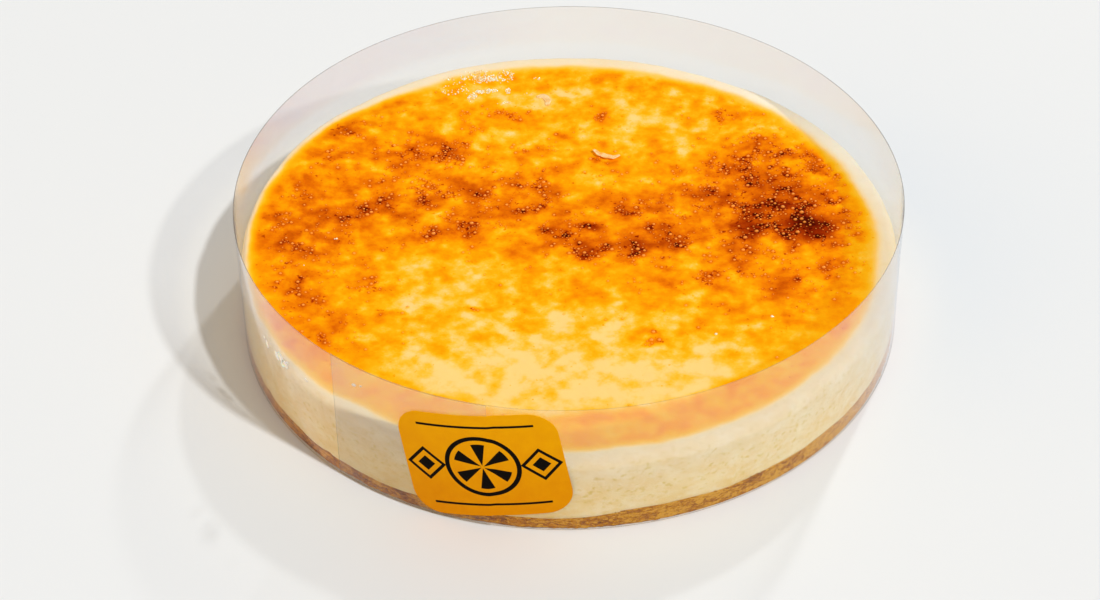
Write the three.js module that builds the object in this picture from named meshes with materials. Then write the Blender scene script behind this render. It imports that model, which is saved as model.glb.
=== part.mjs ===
// Burnt-top cheesecake on a biscuit base, baked in a tin and held in a clear collar closed by a sticker.
// Millimetres, +Z up, the front towards -Y. The origin is the middle of the biscuit's underside.

import * as THREE from 'three';
import { mergeVertices } from 'three/addons/utils/BufferGeometryUtils.js';

// Cake
const CAKE_HEIGHT = 29; // underside to the browned top, where the rim doesn't rise
const BISCUIT_HEIGHT = 5;
const BISCUIT_HEAP = 2.1; // pressed higher by this at the front, right of the sticker
const BISCUIT_RADIUS = 119.7;
const CUSTARD_FOOT_RADIUS = 119.6;
const CUSTARD_SHOULDER_RADIUS = 119;
const SHOULDER_WIDTH = 3.8; // how far in the rounded edge reaches
const SHOULDER_DROP = 3.1; // how far down it reaches
const CENTRE_SAG = 0.9; // the middle of the top, below its edge
// How much higher the rim stands, every 30 degrees from the left by the front
const RIM_RISE = [2.8, 1.2, 0, 0, 0, 0.3, 1.1, 1.7, 0.8, 1, 2, 3.6];
const RIM_RISE_RADIUS = 66; // where the rise starts
const FOOT_CHAMFER = 0.8;
const LAYER_GAP = 0.3;

// Unevenness, as the height of its waves to each side
const TOP_RELIEF = 0.45;
const TOP_RELIEF_LENGTH = 62;
const LAYER_WAVE = 0.7;
const LAYER_WAVE_LENGTH = 60;
const SIDE_DENTS = 0.2;
const SIDE_DENTS_LENGTH = 40;
const CRUMB_RELIEF = 0.3;
const CRUMB_LENGTH = 22;
const WAVE_COUNT = 5;
const WAVE_SHRINK = 0.74; // each wave's length and height, as a share of the one before
const WAVE_PHASE = 1.9; // radians from one wave to the next
const GOLDEN_ANGLE = THREE.MathUtils.degToRad(137.5);
const HEAP_START = THREE.MathUtils.degToRad(-91);
const HEAP_FULL = THREE.MathUtils.degToRad(-74);
const HEAP_FALL = THREE.MathUtils.degToRad(-62);
const HEAP_END = THREE.MathUtils.degToRad(60);

// Collar: one strip of clear film wrapped round the cake, its ends lapped at the front left
const COLLAR_BOTTOM = 0.5;
const COLLAR_HEIGHT = 52.4;
const FILM_THICKNESS = 0.25;
const COLLAR_RIM_RADIUS = 119.7; // inside, at the top
const COLLAR_FLARE = 0.9; // wider by this at the foot
const FILM_GAP = 0.3; // between the lapped layers
const INNER_END = THREE.MathUtils.degToRad(-131.3);
const OUTER_END = THREE.MathUtils.degToRad(-103.5);
const STEP_OUT = THREE.MathUtils.degToRad(14); // how soon before the lap the film moves outwards
const OVAL = 0.4; // the ring is this much wider front to back
const THREE_LOBES = 0.25;

// Sticker: a rounded rectangle over the outer end of the film
const LABEL_WIDTH = 54.6;
const LABEL_HEIGHT = 43;
const LABEL_CORNER = 9.5;
const LABEL_THICKNESS = 0.25;
const LABEL_DIRECTION = THREE.MathUtils.degToRad(-104.3);
const LABEL_CENTRE_HEIGHT = 26.5;
const LABEL_TURN = THREE.MathUtils.degToRad(10);

// Steps of the mesh
const ROUND_STEPS = 120;
const SHOULDER_STEPS = 4;
const FILM_ANGLE_STEP = THREE.MathUtils.degToRad(3);
const FILM_RISE_STEPS = 2;
const LABEL_STEPS_ACROSS = 20;
const LABEL_STEPS_UP = 16;
const TOP_RINGS = [108, 101, 92, 82, 71, 60, 48, 36, 24, 12];
const LAYER_RINGS = [40, 80, 98, 107, 114];
const CUSTARD_SIDE_ROWS = [0.33, 0.66];
const BISCUIT_SIDE_ROWS = [0.45, 0.75];

const { clamp, lerp, smoothstep } = THREE.MathUtils;

// Smooth waves between about -1 and 1, each shorter and turned by the golden angle.
function unevenness(x, y, longest) {
  let sum = 0;
  let most = 0;
  for (let wave = 0; wave < WAVE_COUNT; wave++) {
    const share = WAVE_SHRINK ** wave;
    const turn = wave * GOLDEN_ANGLE;
    const along = x * Math.cos(turn) + y * Math.sin(turn);
    sum += share * Math.sin((2 * Math.PI * along) / (longest * share) + wave * WAVE_PHASE);
    most += share;
  }
  return sum / most;
}

// How far the cake and its wrap stand out of a true circle in one direction.
function outOfRound(angle) {
  return THREE_LOBES * Math.cos(3 * angle) - OVAL * Math.cos(2 * angle);
}

// How much higher the top stands at a place, as it climbs towards the rim.
function rimLift(x, y) {
  const step = (Math.atan2(y, x) / (2 * Math.PI) + 0.5) * RIM_RISE.length;
  const before = Math.floor(step);
  const start = RIM_RISE[before % RIM_RISE.length];
  const end = RIM_RISE[(before + 1) % RIM_RISE.length];
  const climbed = smoothstep(Math.hypot(x, y), RIM_RISE_RADIUS, CUSTARD_SHOULDER_RADIUS);
  return climbed * lerp(start, end, smoothstep(step - before, 0, 1));
}

// Moves every vertex to the place that change(point) gives it.
function reshape(geometry, change) {
  const position = geometry.attributes.position;
  const point = new THREE.Vector3();
  for (let i = 0; i < position.count; i++) {
    point.fromBufferAttribute(position, i);
    change(point);
    position.setXYZ(i, point.x, point.y, point.z);
  }
}

// Moves a point away from the axis by a distance that fades out towards the axis.
function pushOut(point, distance, fullRadius) {
  const radius = Math.hypot(point.x, point.y);
  const factor = 1 + distance / Math.max(radius, fullRadius);
  point.x *= factor;
  point.y *= factor;
}

// A closed solid turned from a profile of [radius, height] pairs that starts and ends on the axis.
function turned(profile) {
  const points = profile.map(([radius, height]) => new THREE.Vector2(radius, height));
  const geometry = new THREE.LatheGeometry(points, ROUND_STEPS);
  geometry.rotateX(Math.PI / 2);
  return geometry;
}

// Joins the seams and corners, so that the surface is one closed skin, and gives it its own normals.
function closeSkin(geometry) {
  geometry.deleteAttribute('normal');
  geometry.deleteAttribute('uv');
  const skin = mergeVertices(geometry, 1e-3);
  const corners = skin.index.array;
  const kept = [];
  for (let i = 0; i < corners.length; i += 3) {
    const [a, b, c] = corners.slice(i, i + 3);
    if (a !== b && b !== c && c !== a) kept.push(a, b, c);
  }
  skin.setIndex(kept);
  skin.computeVertexNormals();
  return skin;
}

function piece(name, geometry, look) {
  const mesh = new THREE.Mesh(closeSkin(geometry), new THREE.MeshStandardMaterial(look));
  mesh.name = name;
  return mesh;
}

// The face between biscuit and custard, uneven where it shows and the same on both sides of the gap.
function layerLift(point) {
  const shown = smoothstep(Math.hypot(point.x, point.y), LAYER_RINGS[1], BISCUIT_RADIUS);
  const angle = Math.atan2(point.y, point.x);
  const heap = smoothstep(angle, HEAP_START, HEAP_FULL) * (1 - smoothstep(angle, HEAP_FALL, HEAP_END));
  const wave = LAYER_WAVE * unevenness(point.x, point.y, LAYER_WAVE_LENGTH);
  return shown * (wave + BISCUIT_HEAP * heap);
}

function biscuitBase() {
  const rise = (share) => [BISCUIT_RADIUS, BISCUIT_HEIGHT * share];
  const profile = [
    [0, 0],
    [BISCUIT_RADIUS - FOOT_CHAMFER, 0],
    [BISCUIT_RADIUS, FOOT_CHAMFER],
    ...BISCUIT_SIDE_ROWS.map(rise),
    [BISCUIT_RADIUS, BISCUIT_HEIGHT],
    ...LAYER_RINGS.toReversed().map((radius) => [radius, BISCUIT_HEIGHT]),
    [0, BISCUIT_HEIGHT],
  ];
  const geometry = turned(profile);
  reshape(geometry, (point) => {
    if (point.z > BISCUIT_HEIGHT - LAYER_GAP) point.z += layerLift(point);
    const crumbs = CRUMB_RELIEF * unevenness(point.x + point.z, point.y - point.z, CRUMB_LENGTH);
    const angle = Math.atan2(point.y, point.x);
    const edge = smoothstep(Math.hypot(point.x, point.y), LAYER_RINGS.at(-1), BISCUIT_RADIUS - FOOT_CHAMFER);
    pushOut(point, edge * (outOfRound(angle) + crumbs), BISCUIT_RADIUS);
  });
  return piece('biscuit_base', geometry, { color: 0xc48a38, roughness: 0.95, metalness: 0 });
}

function custard() {
  const foot = BISCUIT_HEIGHT + LAYER_GAP;
  const shoulder = CAKE_HEIGHT - SHOULDER_DROP;
  const side = (share) => [
    lerp(CUSTARD_FOOT_RADIUS, CUSTARD_SHOULDER_RADIUS, share),
    lerp(foot, shoulder, share),
  ];
  const edge = [];
  for (let step = 0; step <= SHOULDER_STEPS; step++) {
    const angle = (step / SHOULDER_STEPS) * (Math.PI / 2);
    const inwards = SHOULDER_WIDTH * (1 - Math.cos(angle));
    edge.push([CUSTARD_SHOULDER_RADIUS - inwards, shoulder + SHOULDER_DROP * Math.sin(angle)]);
  }
  const profile = [
    [0, foot],
    ...LAYER_RINGS.map((radius) => [radius, foot]),
    [CUSTARD_FOOT_RADIUS, foot],
    ...CUSTARD_SIDE_ROWS.map(side),
    ...edge,
    ...TOP_RINGS.map((radius) => [radius, CAKE_HEIGHT]),
    [0, CAKE_HEIGHT],
  ];
  const geometry = turned(profile);
  reshape(geometry, (point) => {
    const radius = Math.hypot(point.x, point.y);
    if (point.z < foot + LAYER_GAP) {
      point.z += layerLift(point);
    } else {
      const onTop = smoothstep(point.z, shoulder, CAKE_HEIGHT);
      const sag = CENTRE_SAG * (1 - clamp(radius / TOP_RINGS[0], 0, 1) ** 2);
      const relief = TOP_RELIEF * unevenness(point.x, point.y, TOP_RELIEF_LENGTH);
      point.z += onTop * (relief - sag + rimLift(point.x, point.y));
    }
    const dents = SIDE_DENTS * unevenness(point.x + point.z, point.y - point.z, SIDE_DENTS_LENGTH);
    const angle = Math.atan2(point.y, point.x);
    const outer = smoothstep(radius, TOP_RINGS[0], CUSTARD_SHOULDER_RADIUS - SHOULDER_WIDTH);
    pushOut(point, outer * (outOfRound(angle) + dents), CUSTARD_FOOT_RADIUS);
  });
  return piece('custard', geometry, { color: 0xf2b23c, roughness: 0.5, metalness: 0 });
}

// Inside radius of the film's inner layer at one direction and height above the underside.
function filmRadius(angle, height) {
  const fromRim = 1 - (height - COLLAR_BOTTOM) / COLLAR_HEIGHT;
  return COLLAR_RIM_RADIUS + COLLAR_FLARE * fromRim + outOfRound(angle);
}

// Puts a point given by direction, height and distance outside the inner layer's inside face.
function onFilm(point, angle, height, outwards) {
  const radius = filmRadius(angle, height) + outwards;
  point.set(radius * Math.cos(angle), radius * Math.sin(angle), height);
}

function acetateCollar() {
  const length = 2 * Math.PI + OUTER_END - INNER_END;
  const steps = Math.round(length / FILM_ANGLE_STEP);
  // The flat pattern: x is the film's thickness, y the angle along it and z its height.
  const geometry = new THREE.BoxGeometry(
    FILM_THICKNESS, length, COLLAR_HEIGHT,
    1, steps, FILM_RISE_STEPS,
  );
  reshape(geometry, (point) => {
    const turn = point.y + length / 2;
    const lift = (FILM_THICKNESS + FILM_GAP) * smoothstep(turn, 2 * Math.PI - STEP_OUT, 2 * Math.PI);
    const height = COLLAR_BOTTOM + COLLAR_HEIGHT / 2 + point.z;
    onFilm(point, INNER_END + turn, height, lift + FILM_THICKNESS / 2 + point.x);
  });
  return piece('acetate_collar', geometry, {
    color: 0xf4f4f2,
    roughness: 0.05,
    metalness: 0,
    transparent: true,
    opacity: 0.15,
  });
}

// Draws a rectangle's corner patch in to a quarter circle, and leaves the rest where it is.
function roundCorner(point, halfWidth, halfHeight, corner) {
  const across = Math.abs(point.x) - (halfWidth - corner);
  const up = Math.abs(point.y) - (halfHeight - corner);
  if (across <= 0 || up <= 0) return;
  const shrink = Math.max(across, up) / Math.hypot(across, up);
  point.x = Math.sign(point.x) * (halfWidth - corner + across * shrink);
  point.y = Math.sign(point.y) * (halfHeight - corner + up * shrink);
}

function collarLabel() {
  const geometry = new THREE.BoxGeometry(
    LABEL_WIDTH, LABEL_HEIGHT, LABEL_THICKNESS,
    LABEL_STEPS_ACROSS, LABEL_STEPS_UP, 1,
  );
  const overLap = 2 * (FILM_THICKNESS + FILM_GAP) + LABEL_THICKNESS / 2;
  const upAxis = new THREE.Vector3(0, 0, 1);
  reshape(geometry, (point) => {
    roundCorner(point, LABEL_WIDTH / 2, LABEL_HEIGHT / 2, LABEL_CORNER);
    point.applyAxisAngle(upAxis, LABEL_TURN);
    const angle = LABEL_DIRECTION + point.x / COLLAR_RIM_RADIUS;
    onFilm(point, angle, LABEL_CENTRE_HEIGHT + point.y, overLap + point.z);
  });
  return piece('collar_label', geometry, { color: 0xe0a00a, roughness: 0.45, metalness: 0 });
}

const cheesecake = new THREE.Group();
cheesecake.add(biscuitBase(), custard(), acetateCollar(), collarLabel());

export default cheesecake;
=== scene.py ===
"""Looks for a burnt-top cheesecake on a biscuit base, in a clear lapped collar closed by a sticker.

Each sub-assembly is a class that holds its sizes in millimetres, builds its meshes and dresses
them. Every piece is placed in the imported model's own frame, which is in metres.
"""

import logging
import math
import random
from collections.abc import Callable
from dataclasses import dataclass, field
from enum import Enum
from typing import Any

import bmesh
import bpy
from mathutils import Matrix, Vector, noise


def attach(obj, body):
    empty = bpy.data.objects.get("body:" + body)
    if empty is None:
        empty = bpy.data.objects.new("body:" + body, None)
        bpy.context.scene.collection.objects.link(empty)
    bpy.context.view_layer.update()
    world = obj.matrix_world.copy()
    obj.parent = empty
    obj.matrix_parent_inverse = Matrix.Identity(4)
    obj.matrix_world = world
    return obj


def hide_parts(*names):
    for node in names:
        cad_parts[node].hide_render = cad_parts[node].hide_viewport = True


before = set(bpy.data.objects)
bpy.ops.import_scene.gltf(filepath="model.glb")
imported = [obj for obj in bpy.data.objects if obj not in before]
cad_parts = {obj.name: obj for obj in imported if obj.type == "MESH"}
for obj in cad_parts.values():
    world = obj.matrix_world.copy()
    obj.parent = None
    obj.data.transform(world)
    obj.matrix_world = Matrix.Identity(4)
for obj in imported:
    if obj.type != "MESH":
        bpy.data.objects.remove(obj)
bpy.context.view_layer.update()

LOG = logging.getLogger("cheesecake")
MM = 0.001
BODY = "root"
SEED = 20

# Waves that the solids share: each is shorter than the one before and turned by the golden angle
WAVE_COUNT = 5
WAVE_SHRINK = 0.74
WAVE_PHASE = 1.9
GOLDEN_ANGLE = math.radians(137.5)

# How far the cake and its wrap stand out of a true circle, in millimetres
OVAL = 0.4
THREE_LOBES = 0.25


class Slot(Enum):
    """The record's material slots, one passed along with each piece."""

    BISCUIT = "biscuit"
    CUSTARD = "custard"
    FILM = "clear_film"
    LABEL = "label_paper"


def linear(colour: str) -> tuple[float, float, float, float]:
    """Turns an sRGB hex colour into the linear numbers that shaders use.

    Args:
        colour: six hex digits

    Returns:
        red, green, blue and an alpha of 1
    """
    parts = [int(colour[i:i + 2], 16) / 255 for i in (0, 2, 4)]
    low, knee, power = 12.92, 0.04045, 2.4
    red, green, blue = (
        part / low if part <= knee else ((part + 0.055) / 1.055) ** power for part in parts
    )
    return red, green, blue, 1.0


def smoothstep(value: float, low: float, high: float) -> float:
    """Rises smoothly from 0 at low to 1 at high.

    Args:
        value: the number to place between low and high
        low: where the rise starts
        high: where the rise ends

    Returns:
        a share from 0 to 1
    """
    share = min(1.0, max(0.0, (value - low) / (high - low)))
    return share * share * (3 - 2 * share)


def mix(start: float, end: float, share: float) -> float:
    """Gives the number that lies at a share of the way from start to end."""
    return start + (end - start) * share


def unevenness(x: float, y: float, longest: float) -> float:
    """Gives the smooth waves of the solids, between about -1 and 1.

    Args:
        x: place in millimetres
        y: place in millimetres
        longest: length of the longest wave in millimetres

    Returns:
        the waves' height at that place
    """
    total = most = 0.0
    for wave in range(WAVE_COUNT):
        share = WAVE_SHRINK**wave
        turn = wave * GOLDEN_ANGLE
        along = x * math.cos(turn) + y * math.sin(turn)
        total += share * math.sin(math.tau * along / (longest * share) + wave * WAVE_PHASE)
        most += share
    return total / most


def out_of_round(angle: float) -> float:
    """Gives how far the cake stands out of a true circle in one direction, in millimetres."""
    return THREE_LOBES * math.cos(3 * angle) - OVAL * math.cos(2 * angle)


def round_the_cake(values: tuple[float, ...], x: float, y: float) -> float:
    """Gives the value in the direction of a place, from values at even steps round the cake.

    Args:
        values: the values, from the left by the front
        x: place in millimetres
        y: place in millimetres

    Returns:
        the value, smooth between the steps
    """
    step = (math.atan2(y, x) / math.tau + 0.5) * len(values)
    before = math.floor(step)
    start, end = values[before % len(values)], values[(before + 1) % len(values)]
    return mix(start, end, smoothstep(step - before, 0.0, 1.0))


def ripple(x: float, y: float, z: float, size: float) -> float:
    """Gives seedless noise between -1 and 1 whose lumps are about size millimetres across."""
    return noise.noise(Vector((x, y, z)) / size)


def add_node(
    tree: bpy.types.NodeTree,
    kind: str,
    inputs: dict[str | int, Any] | None = None,
    **settings: Any,
) -> bpy.types.Node:
    """Adds a node with its settings, and fills or links its inputs.

    Args:
        tree: the material's node tree
        kind: the node's type without its ShaderNode prefix
        inputs: by socket name or number, a value or the output socket to link from
        settings: the node's own properties; stops fills a colour ramp

    Returns:
        the new node
    """
    node = tree.nodes.new("ShaderNode" + kind)
    for number, (place, colour) in enumerate(settings.pop("stops", ())):
        stops = node.color_ramp.elements
        stop = stops[number] if number < len(stops) else stops.new(place)
        stop.position = place
        stop.color = colour if isinstance(colour, tuple) else linear(colour)
    for name, value in settings.items():
        setattr(node, name, value)
    for name, value in (inputs or {}).items():
        if isinstance(value, bpy.types.NodeSocket):
            tree.links.new(value, node.inputs[name])
        else:
            node.inputs[name].default_value = value
    return node


def new_material(name: str) -> tuple[bpy.types.Material, bpy.types.NodeTree]:
    """Makes an empty material.

    Args:
        name: what the material is

    Returns:
        the material and its node tree
    """
    material = bpy.data.materials.new(name)
    material.use_nodes = True
    material.node_tree.nodes.clear()
    return material, material.node_tree


def finish_piece(
    mesh: bmesh.types.BMesh,
    name: str,
    slot: Slot,
    materials: list[bpy.types.Material],
    replaced: str | None = None,
) -> bpy.types.Object:
    """Turns a finished bmesh in metres into a smooth shaded piece of the cake.

    Args:
        mesh: the shape, which is freed
        name: the piece's name
        slot: the record's slot for its finish; not used
        materials: its materials, in the order of the faces' material numbers
        replaced: the CAD node that it stands for, if any

    Returns:
        the piece
    """
    data = bpy.data.meshes.new(name)
    for face in mesh.faces:
        face.smooth = True
    mesh.to_mesh(data)
    mesh.free()
    for material in materials:
        data.materials.append(material)
    piece = bpy.data.objects.new(name, data)
    bpy.context.scene.collection.objects.link(piece)
    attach(piece, BODY)
    if replaced:
        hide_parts(replaced)
    LOG.info("%s: %d faces", name, len(data.polygons))
    return piece


def extrude_ring(
    mesh: bmesh.types.BMesh,
    ring: list[bmesh.types.BMEdge],
    place: Callable[[Vector], Vector],
) -> list[bmesh.types.BMEdge]:
    """Extrudes a closed ring of boundary edges by one row.

    Args:
        mesh: the mesh to grow
        ring: the boundary edges
        place: gives a new corner's place from the old corner's

    Returns:
        the edges of the new ring
    """
    made = bmesh.ops.extrude_edge_only(mesh, edges=ring)["geom"]
    corners = [item for item in made if isinstance(item, bmesh.types.BMVert)]
    for corner in corners:
        corner.co = place(corner.co)
    fresh = set(corners)
    edges = [item for item in made if isinstance(item, bmesh.types.BMEdge)]
    return [edge for edge in edges if edge.verts[0] in fresh and edge.verts[1] in fresh]


def on_circle(corner: Vector, radius: float, height: float) -> Vector:
    """Gives the place at a radius and height in the direction of a corner."""
    direction = Vector((corner.x, corner.y, 0)).normalized()
    return Vector((direction.x * radius, direction.y * radius, height))


@dataclass(frozen=True)
class Scorch:
    """One mark of the grill on the top: an ellipse that fades out from its middle.

    heat browns the skin, or pales it where it is below zero, and char is how thickly the mark is
    set with blisters and dark freckles.
    """

    x: float
    y: float
    long: float
    wide: float
    turn: float
    heat: float
    char: float = 0.0

    @property
    def limit(self) -> float:
        """Gives the distance past which the mark no longer shows."""
        return 2.1 * max(self.long, self.wide)

    def reach(self, x: float, y: float) -> float:
        """Gives how strongly the mark shows at a place, from 0 to 1.

        Args:
            x: place in millimetres
            y: place in millimetres

        Returns:
            1 in the middle of the mark, falling to 0 away from it
        """
        off_x, off_y = x - self.x, y - self.y
        turn = math.radians(self.turn)
        along = (off_x * math.cos(turn) + off_y * math.sin(turn)) / self.long
        across = (off_y * math.cos(turn) - off_x * math.sin(turn)) / self.wide
        return math.exp(-1.1 * (along * along + across * across) ** 1.3)


# Wide zones of the grill's heat, in the order back to front
WARM_ZONES = (
    Scorch(-25, 72, 88, 36, 0, 0.09, 0.06),
    Scorch(-68, 54, 34, 24, 10, 0.07, 0.08),
    Scorch(0, 14, 125, 34, 0, 0.21, 0.14),
    Scorch(-96, -2, 34, 78, 0, 0.17, 0.12),
    Scorch(78, 32, 36, 44, 0, 0.17, 0.34),
    Scorch(62, -26, 48, 26, 0, 0.14, 0.14),
    Scorch(2, -31, 30, 13, 0, 0.06, 0.02),
    Scorch(-106, 8, 12, 34, 6, 0.03, 0.12),
    Scorch(-84, 74, 32, 9, 42, 0.09, 0.08),
    Scorch(-34, 32, 22, 12, 5, 0.07, 0.10),
    Scorch(-93, -48, 24, 19, -30, 0.09, 0.06),
    Scorch(88, -48, 28, 22, 40, 0.12, 0.05),
    Scorch(-62, -62, 22, 12, 10, 0.03, 0.02),
)

# The marks that stand out, each given one by one, back to front
DARK_MARKS = (
    Scorch(-46, 105, 6, 3, 30, 0.22, 0.30),
    Scorch(-68, 88, 14, 10, 40, 0.06, 0.10),
    Scorch(14, 79, 5, 5, -30, 0.20, 0.45),
    Scorch(60, 74, 4, 7, 10, 0.20, 0.50),
    Scorch(-38, 76, 4, 8, 0, 0.16, 0.45),
    Scorch(-22, 79, 12, 3, 5, 0.12, 0.30),
    Scorch(-88, 66, 13, 7, 40, 0.06, 0.25),
    Scorch(-48, 57, 15, 9, 5, 0.20, 0.50),
    Scorch(-12, 56, 10, 4, 5, 0.05, 0.20),
    # Under the curled flake's left end: partly scorch and partly a painted shadow of the flake
    Scorch(12.2, 50.3, 2.8, 1.6, 0, 0.32, 0.30),
    Scorch(18, 49, 7, 3, 0, 0.10, 0.15),
    Scorch(80, 50, 15, 9, 10, 0.10, 0.50),
    Scorch(60, 42, 13, 6, 15, 0.06, 0.35),
    Scorch(48, 26, 8, 7, 0, 0.08, 0.35),
    Scorch(-52, 30, 9, 8, 0, 0.08, 0.45),
    Scorch(-34, 24, 5, 8, 0, 0.16, 0.60),
    Scorch(-16, 33, 9, 7, -20, 0.12, 0.45),
    Scorch(-17, 20, 8, 3, 0, 0.12, 0.45),
    Scorch(-6, 25, 6, 4, 15, 0.10, 0.40),
    Scorch(-73, 22, 9, 5, 15, 0.14, 0.60),
    Scorch(-86, 16, 9, 7, 0, 0.05, 0.40),
    Scorch(-46, 5, 7, 7, 0, 0.12, 0.50),
    Scorch(-33, 11, 10, 7, 0, 0.06, 0.45),
    Scorch(-4, 4, 8, 6, 20, 0.26, 0.85),
    Scorch(9, 8, 6, 3, 0, 0.18, 0.50),
    Scorch(24, 17, 9, 5, 20, 0.20, 0.55),
    Scorch(6, -6, 8, 5, -20, 0.24, 0.75),
    Scorch(22, -6, 12, 4, 3, 0.22, 0.75),
    Scorch(36, -4, 8, 4, 5, 0.20, 0.70),
    Scorch(32, 5, 6, 5, 0, 0.14, 0.50),
    Scorch(16, -1, 24, 12, 0, 0.08, 0.20),
    Scorch(65, 3.5, 7, 6.5, 0, 0.24, 0.85),
    Scorch(75, 32, 9, 5, 0, 0.15, 0.75),
    Scorch(80, 17, 8, 5, 0, 0.12, 0.90),
    Scorch(82, 17.5, 4, 3, 0, 0.22, 0.40),
    Scorch(88.8, 2.6, 9.8, 7.6, -20, 0.49, 1.00),
    Scorch(82, 17, 26, 20, -20, 0.11, 0.45),
    Scorch(62, -14, 5, 10, 0, 0.10, 0.40),
    Scorch(77, -28, 9, 5, 5, 0.10, 0.50),
    Scorch(94, -18, 6, 5, 0, 0.08, 0.50),
    Scorch(50, -26, 5, 9, 0, 0.08, 0.25),
    Scorch(-103, -2, 9, 10, 0, 0.10, 0.55),
    Scorch(-97, -28, 12, 6, -15, 0.12, 0.40),
    Scorch(-86, -55, 10, 5, -40, 0.10, 0.25),
    Scorch(-71, -24, 8, 5, 0, 0.12, 0.35),
    Scorch(-62, -40, 5, 2, 0, 0.14, 0.30),
    Scorch(-34, -40, 5, 2, 0, 0.12, 0.30),
    Scorch(28, -57, 9, 4, 10, 0.16, 0.35),
    Scorch(45, -49, 3, 3, 0, 0.16, 0.35),
)
PALE_MARKS = (
    Scorch(-4, -78, 60, 18, 0, -0.09),
    Scorch(22, 70, 22, 6, 0, -0.06),
    Scorch(-28, 66, 10, 5, 0, -0.12),
    Scorch(46, 57, 4, 8, 0, -0.10),
    Scorch(10, 41, 12, 6, 50, -0.10),
    Scorch(33, 33, 6, 8, 0, -0.08),
    Scorch(-56, -12, 20, 8, 0, -0.08),
    Scorch(-66, 3, 7, 7, 0, -0.06),
    Scorch(-8, 95, 26, 8, 0, -0.05),
    # The pale marks round x -30, y 100, where the sugar beads glint, are partly paler skin and partly
    # painted sheen
    Scorch(-26, 96, 18, 7, 0, -0.07),
    Scorch(-6.5, 90.5, 3, 4, 20, -0.12),
    Scorch(4, 84, 14, 6, 0, -0.05),
    Scorch(-33, 104, 10, 3.5, 0, -0.10),
    Scorch(-31, 94, 6, 2.5, 10, -0.10),
    Scorch(104, 32, 9, 17, 0, -0.05),
    Scorch(24, -20, 9, 6, 0, -0.03),
)
# Values in millimetres every 30 degrees round the cake, from the left by the front: how far out
# the browned skin reaches, half the width of its fade, and how much higher the rim stands
BROWN_REACH = (116.4, 117.0, 113.6, 112.8, 112.8, 112.6, 111.0, 110.4, 110.8, 111.2, 111.4, 114.6)
BROWN_FADE = (4.2, 3.6, 3.0, 2.8, 3.2, 4.2, 6.2, 6.0, 4.8, 4.4, 4.6, 4.6)
RIM_RISE = (2.8, 1.2, 0.0, 0.0, 0.0, 0.3, 1.1, 1.7, 0.8, 1.0, 2.0, 3.6)


@dataclass
class CrustPattern:
    """How far each place of the top is browned, on a scale from cream at 0 to black at 1."""

    base: float = 0.18
    palest: float = 0.1
    rim_level: float = 0.28
    rim_rise: tuple[float, float] = (90.0, 99.0)
    clump_size: float = 6.5
    warp: float = 3.0
    warp_size: float = 9.0
    cell: float = 20.0

    def __post_init__(self) -> None:
        """Sorts the marks into square cells, so that each place looks at few of them."""
        self.marks: dict[tuple[int, int], list[Scorch]] = {}
        for mark in (*WARM_ZONES, *DARK_MARKS, *PALE_MARKS):
            low_x, high_x = self.cell_of(mark.x - mark.limit), self.cell_of(mark.x + mark.limit)
            low_y, high_y = self.cell_of(mark.y - mark.limit), self.cell_of(mark.y + mark.limit)
            for across in range(low_x, high_x + 1):
                for along in range(low_y, high_y + 1):
                    self.marks.setdefault((across, along), []).append(mark)

    def cell_of(self, place: float) -> int:
        """Gives the number of the cell that a coordinate falls in."""
        return math.floor(place / self.cell)

    def at(self, x: float, y: float, drop: float = 0.0) -> tuple[float, float, float]:
        """Gives how far the top is browned, and how thickly it is set with blisters.

        Args:
            x: place in millimetres
            y: place in millimetres
            drop: how far the place lies below the flat top, on the shoulder

        Returns:
            bake, char and how fully the browned skin covers the place, each from 0 to 1
        """
        warped_x = x + self.warp * ripple(x, y, 3.0, self.warp_size)
        warped_y = y + self.warp * ripple(x, y, 11.0, self.warp_size)
        level, char = self.base, 0.06
        for mark in self.marks.get((self.cell_of(warped_x), self.cell_of(warped_y)), ()):
            reach = mark.reach(warped_x, warped_y)
            level += mark.heat * reach
            char += mark.char * reach * (1 - char)
        clump = ripple(x, y, 21.0, self.clump_size) + 0.6 * ripple(x, y, 23.0, self.clump_size / 2)
        clump = smoothstep(clump, -0.1, 0.45)
        level += (0.12 * clump - 0.04) * char
        char = min(1.0, char * (0.5 + 1.2 * clump))
        level = max(level, self.rim_level * smoothstep(math.hypot(x, y), *self.rim_rise))
        cover = self.cover_at(x, y, drop)
        return min(0.97, max(self.palest, level)) * cover, char * cover, cover

    def cover_at(self, x: float, y: float, drop: float) -> float:
        """Gives how fully the browned skin covers a place, from 0 on the pale rim to 1.

        Args:
            x: place in millimetres
            y: place in millimetres
            drop: how far the place lies below the flat top, on the shoulder

        Returns:
            the share of the skin's colour that shows
        """
        outward = math.hypot(x, y) + drop
        if outward < 100:
            return 1.0
        edge, half = (round_the_cake(values, x, y) for values in (BROWN_REACH, BROWN_FADE))
        outward += 0.9 * ripple(x, y, 7.0, 14.0) + 0.4 * ripple(x, y, 9.0, 4.0)
        return 1 - smoothstep(outward, edge - half, edge + half)


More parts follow.
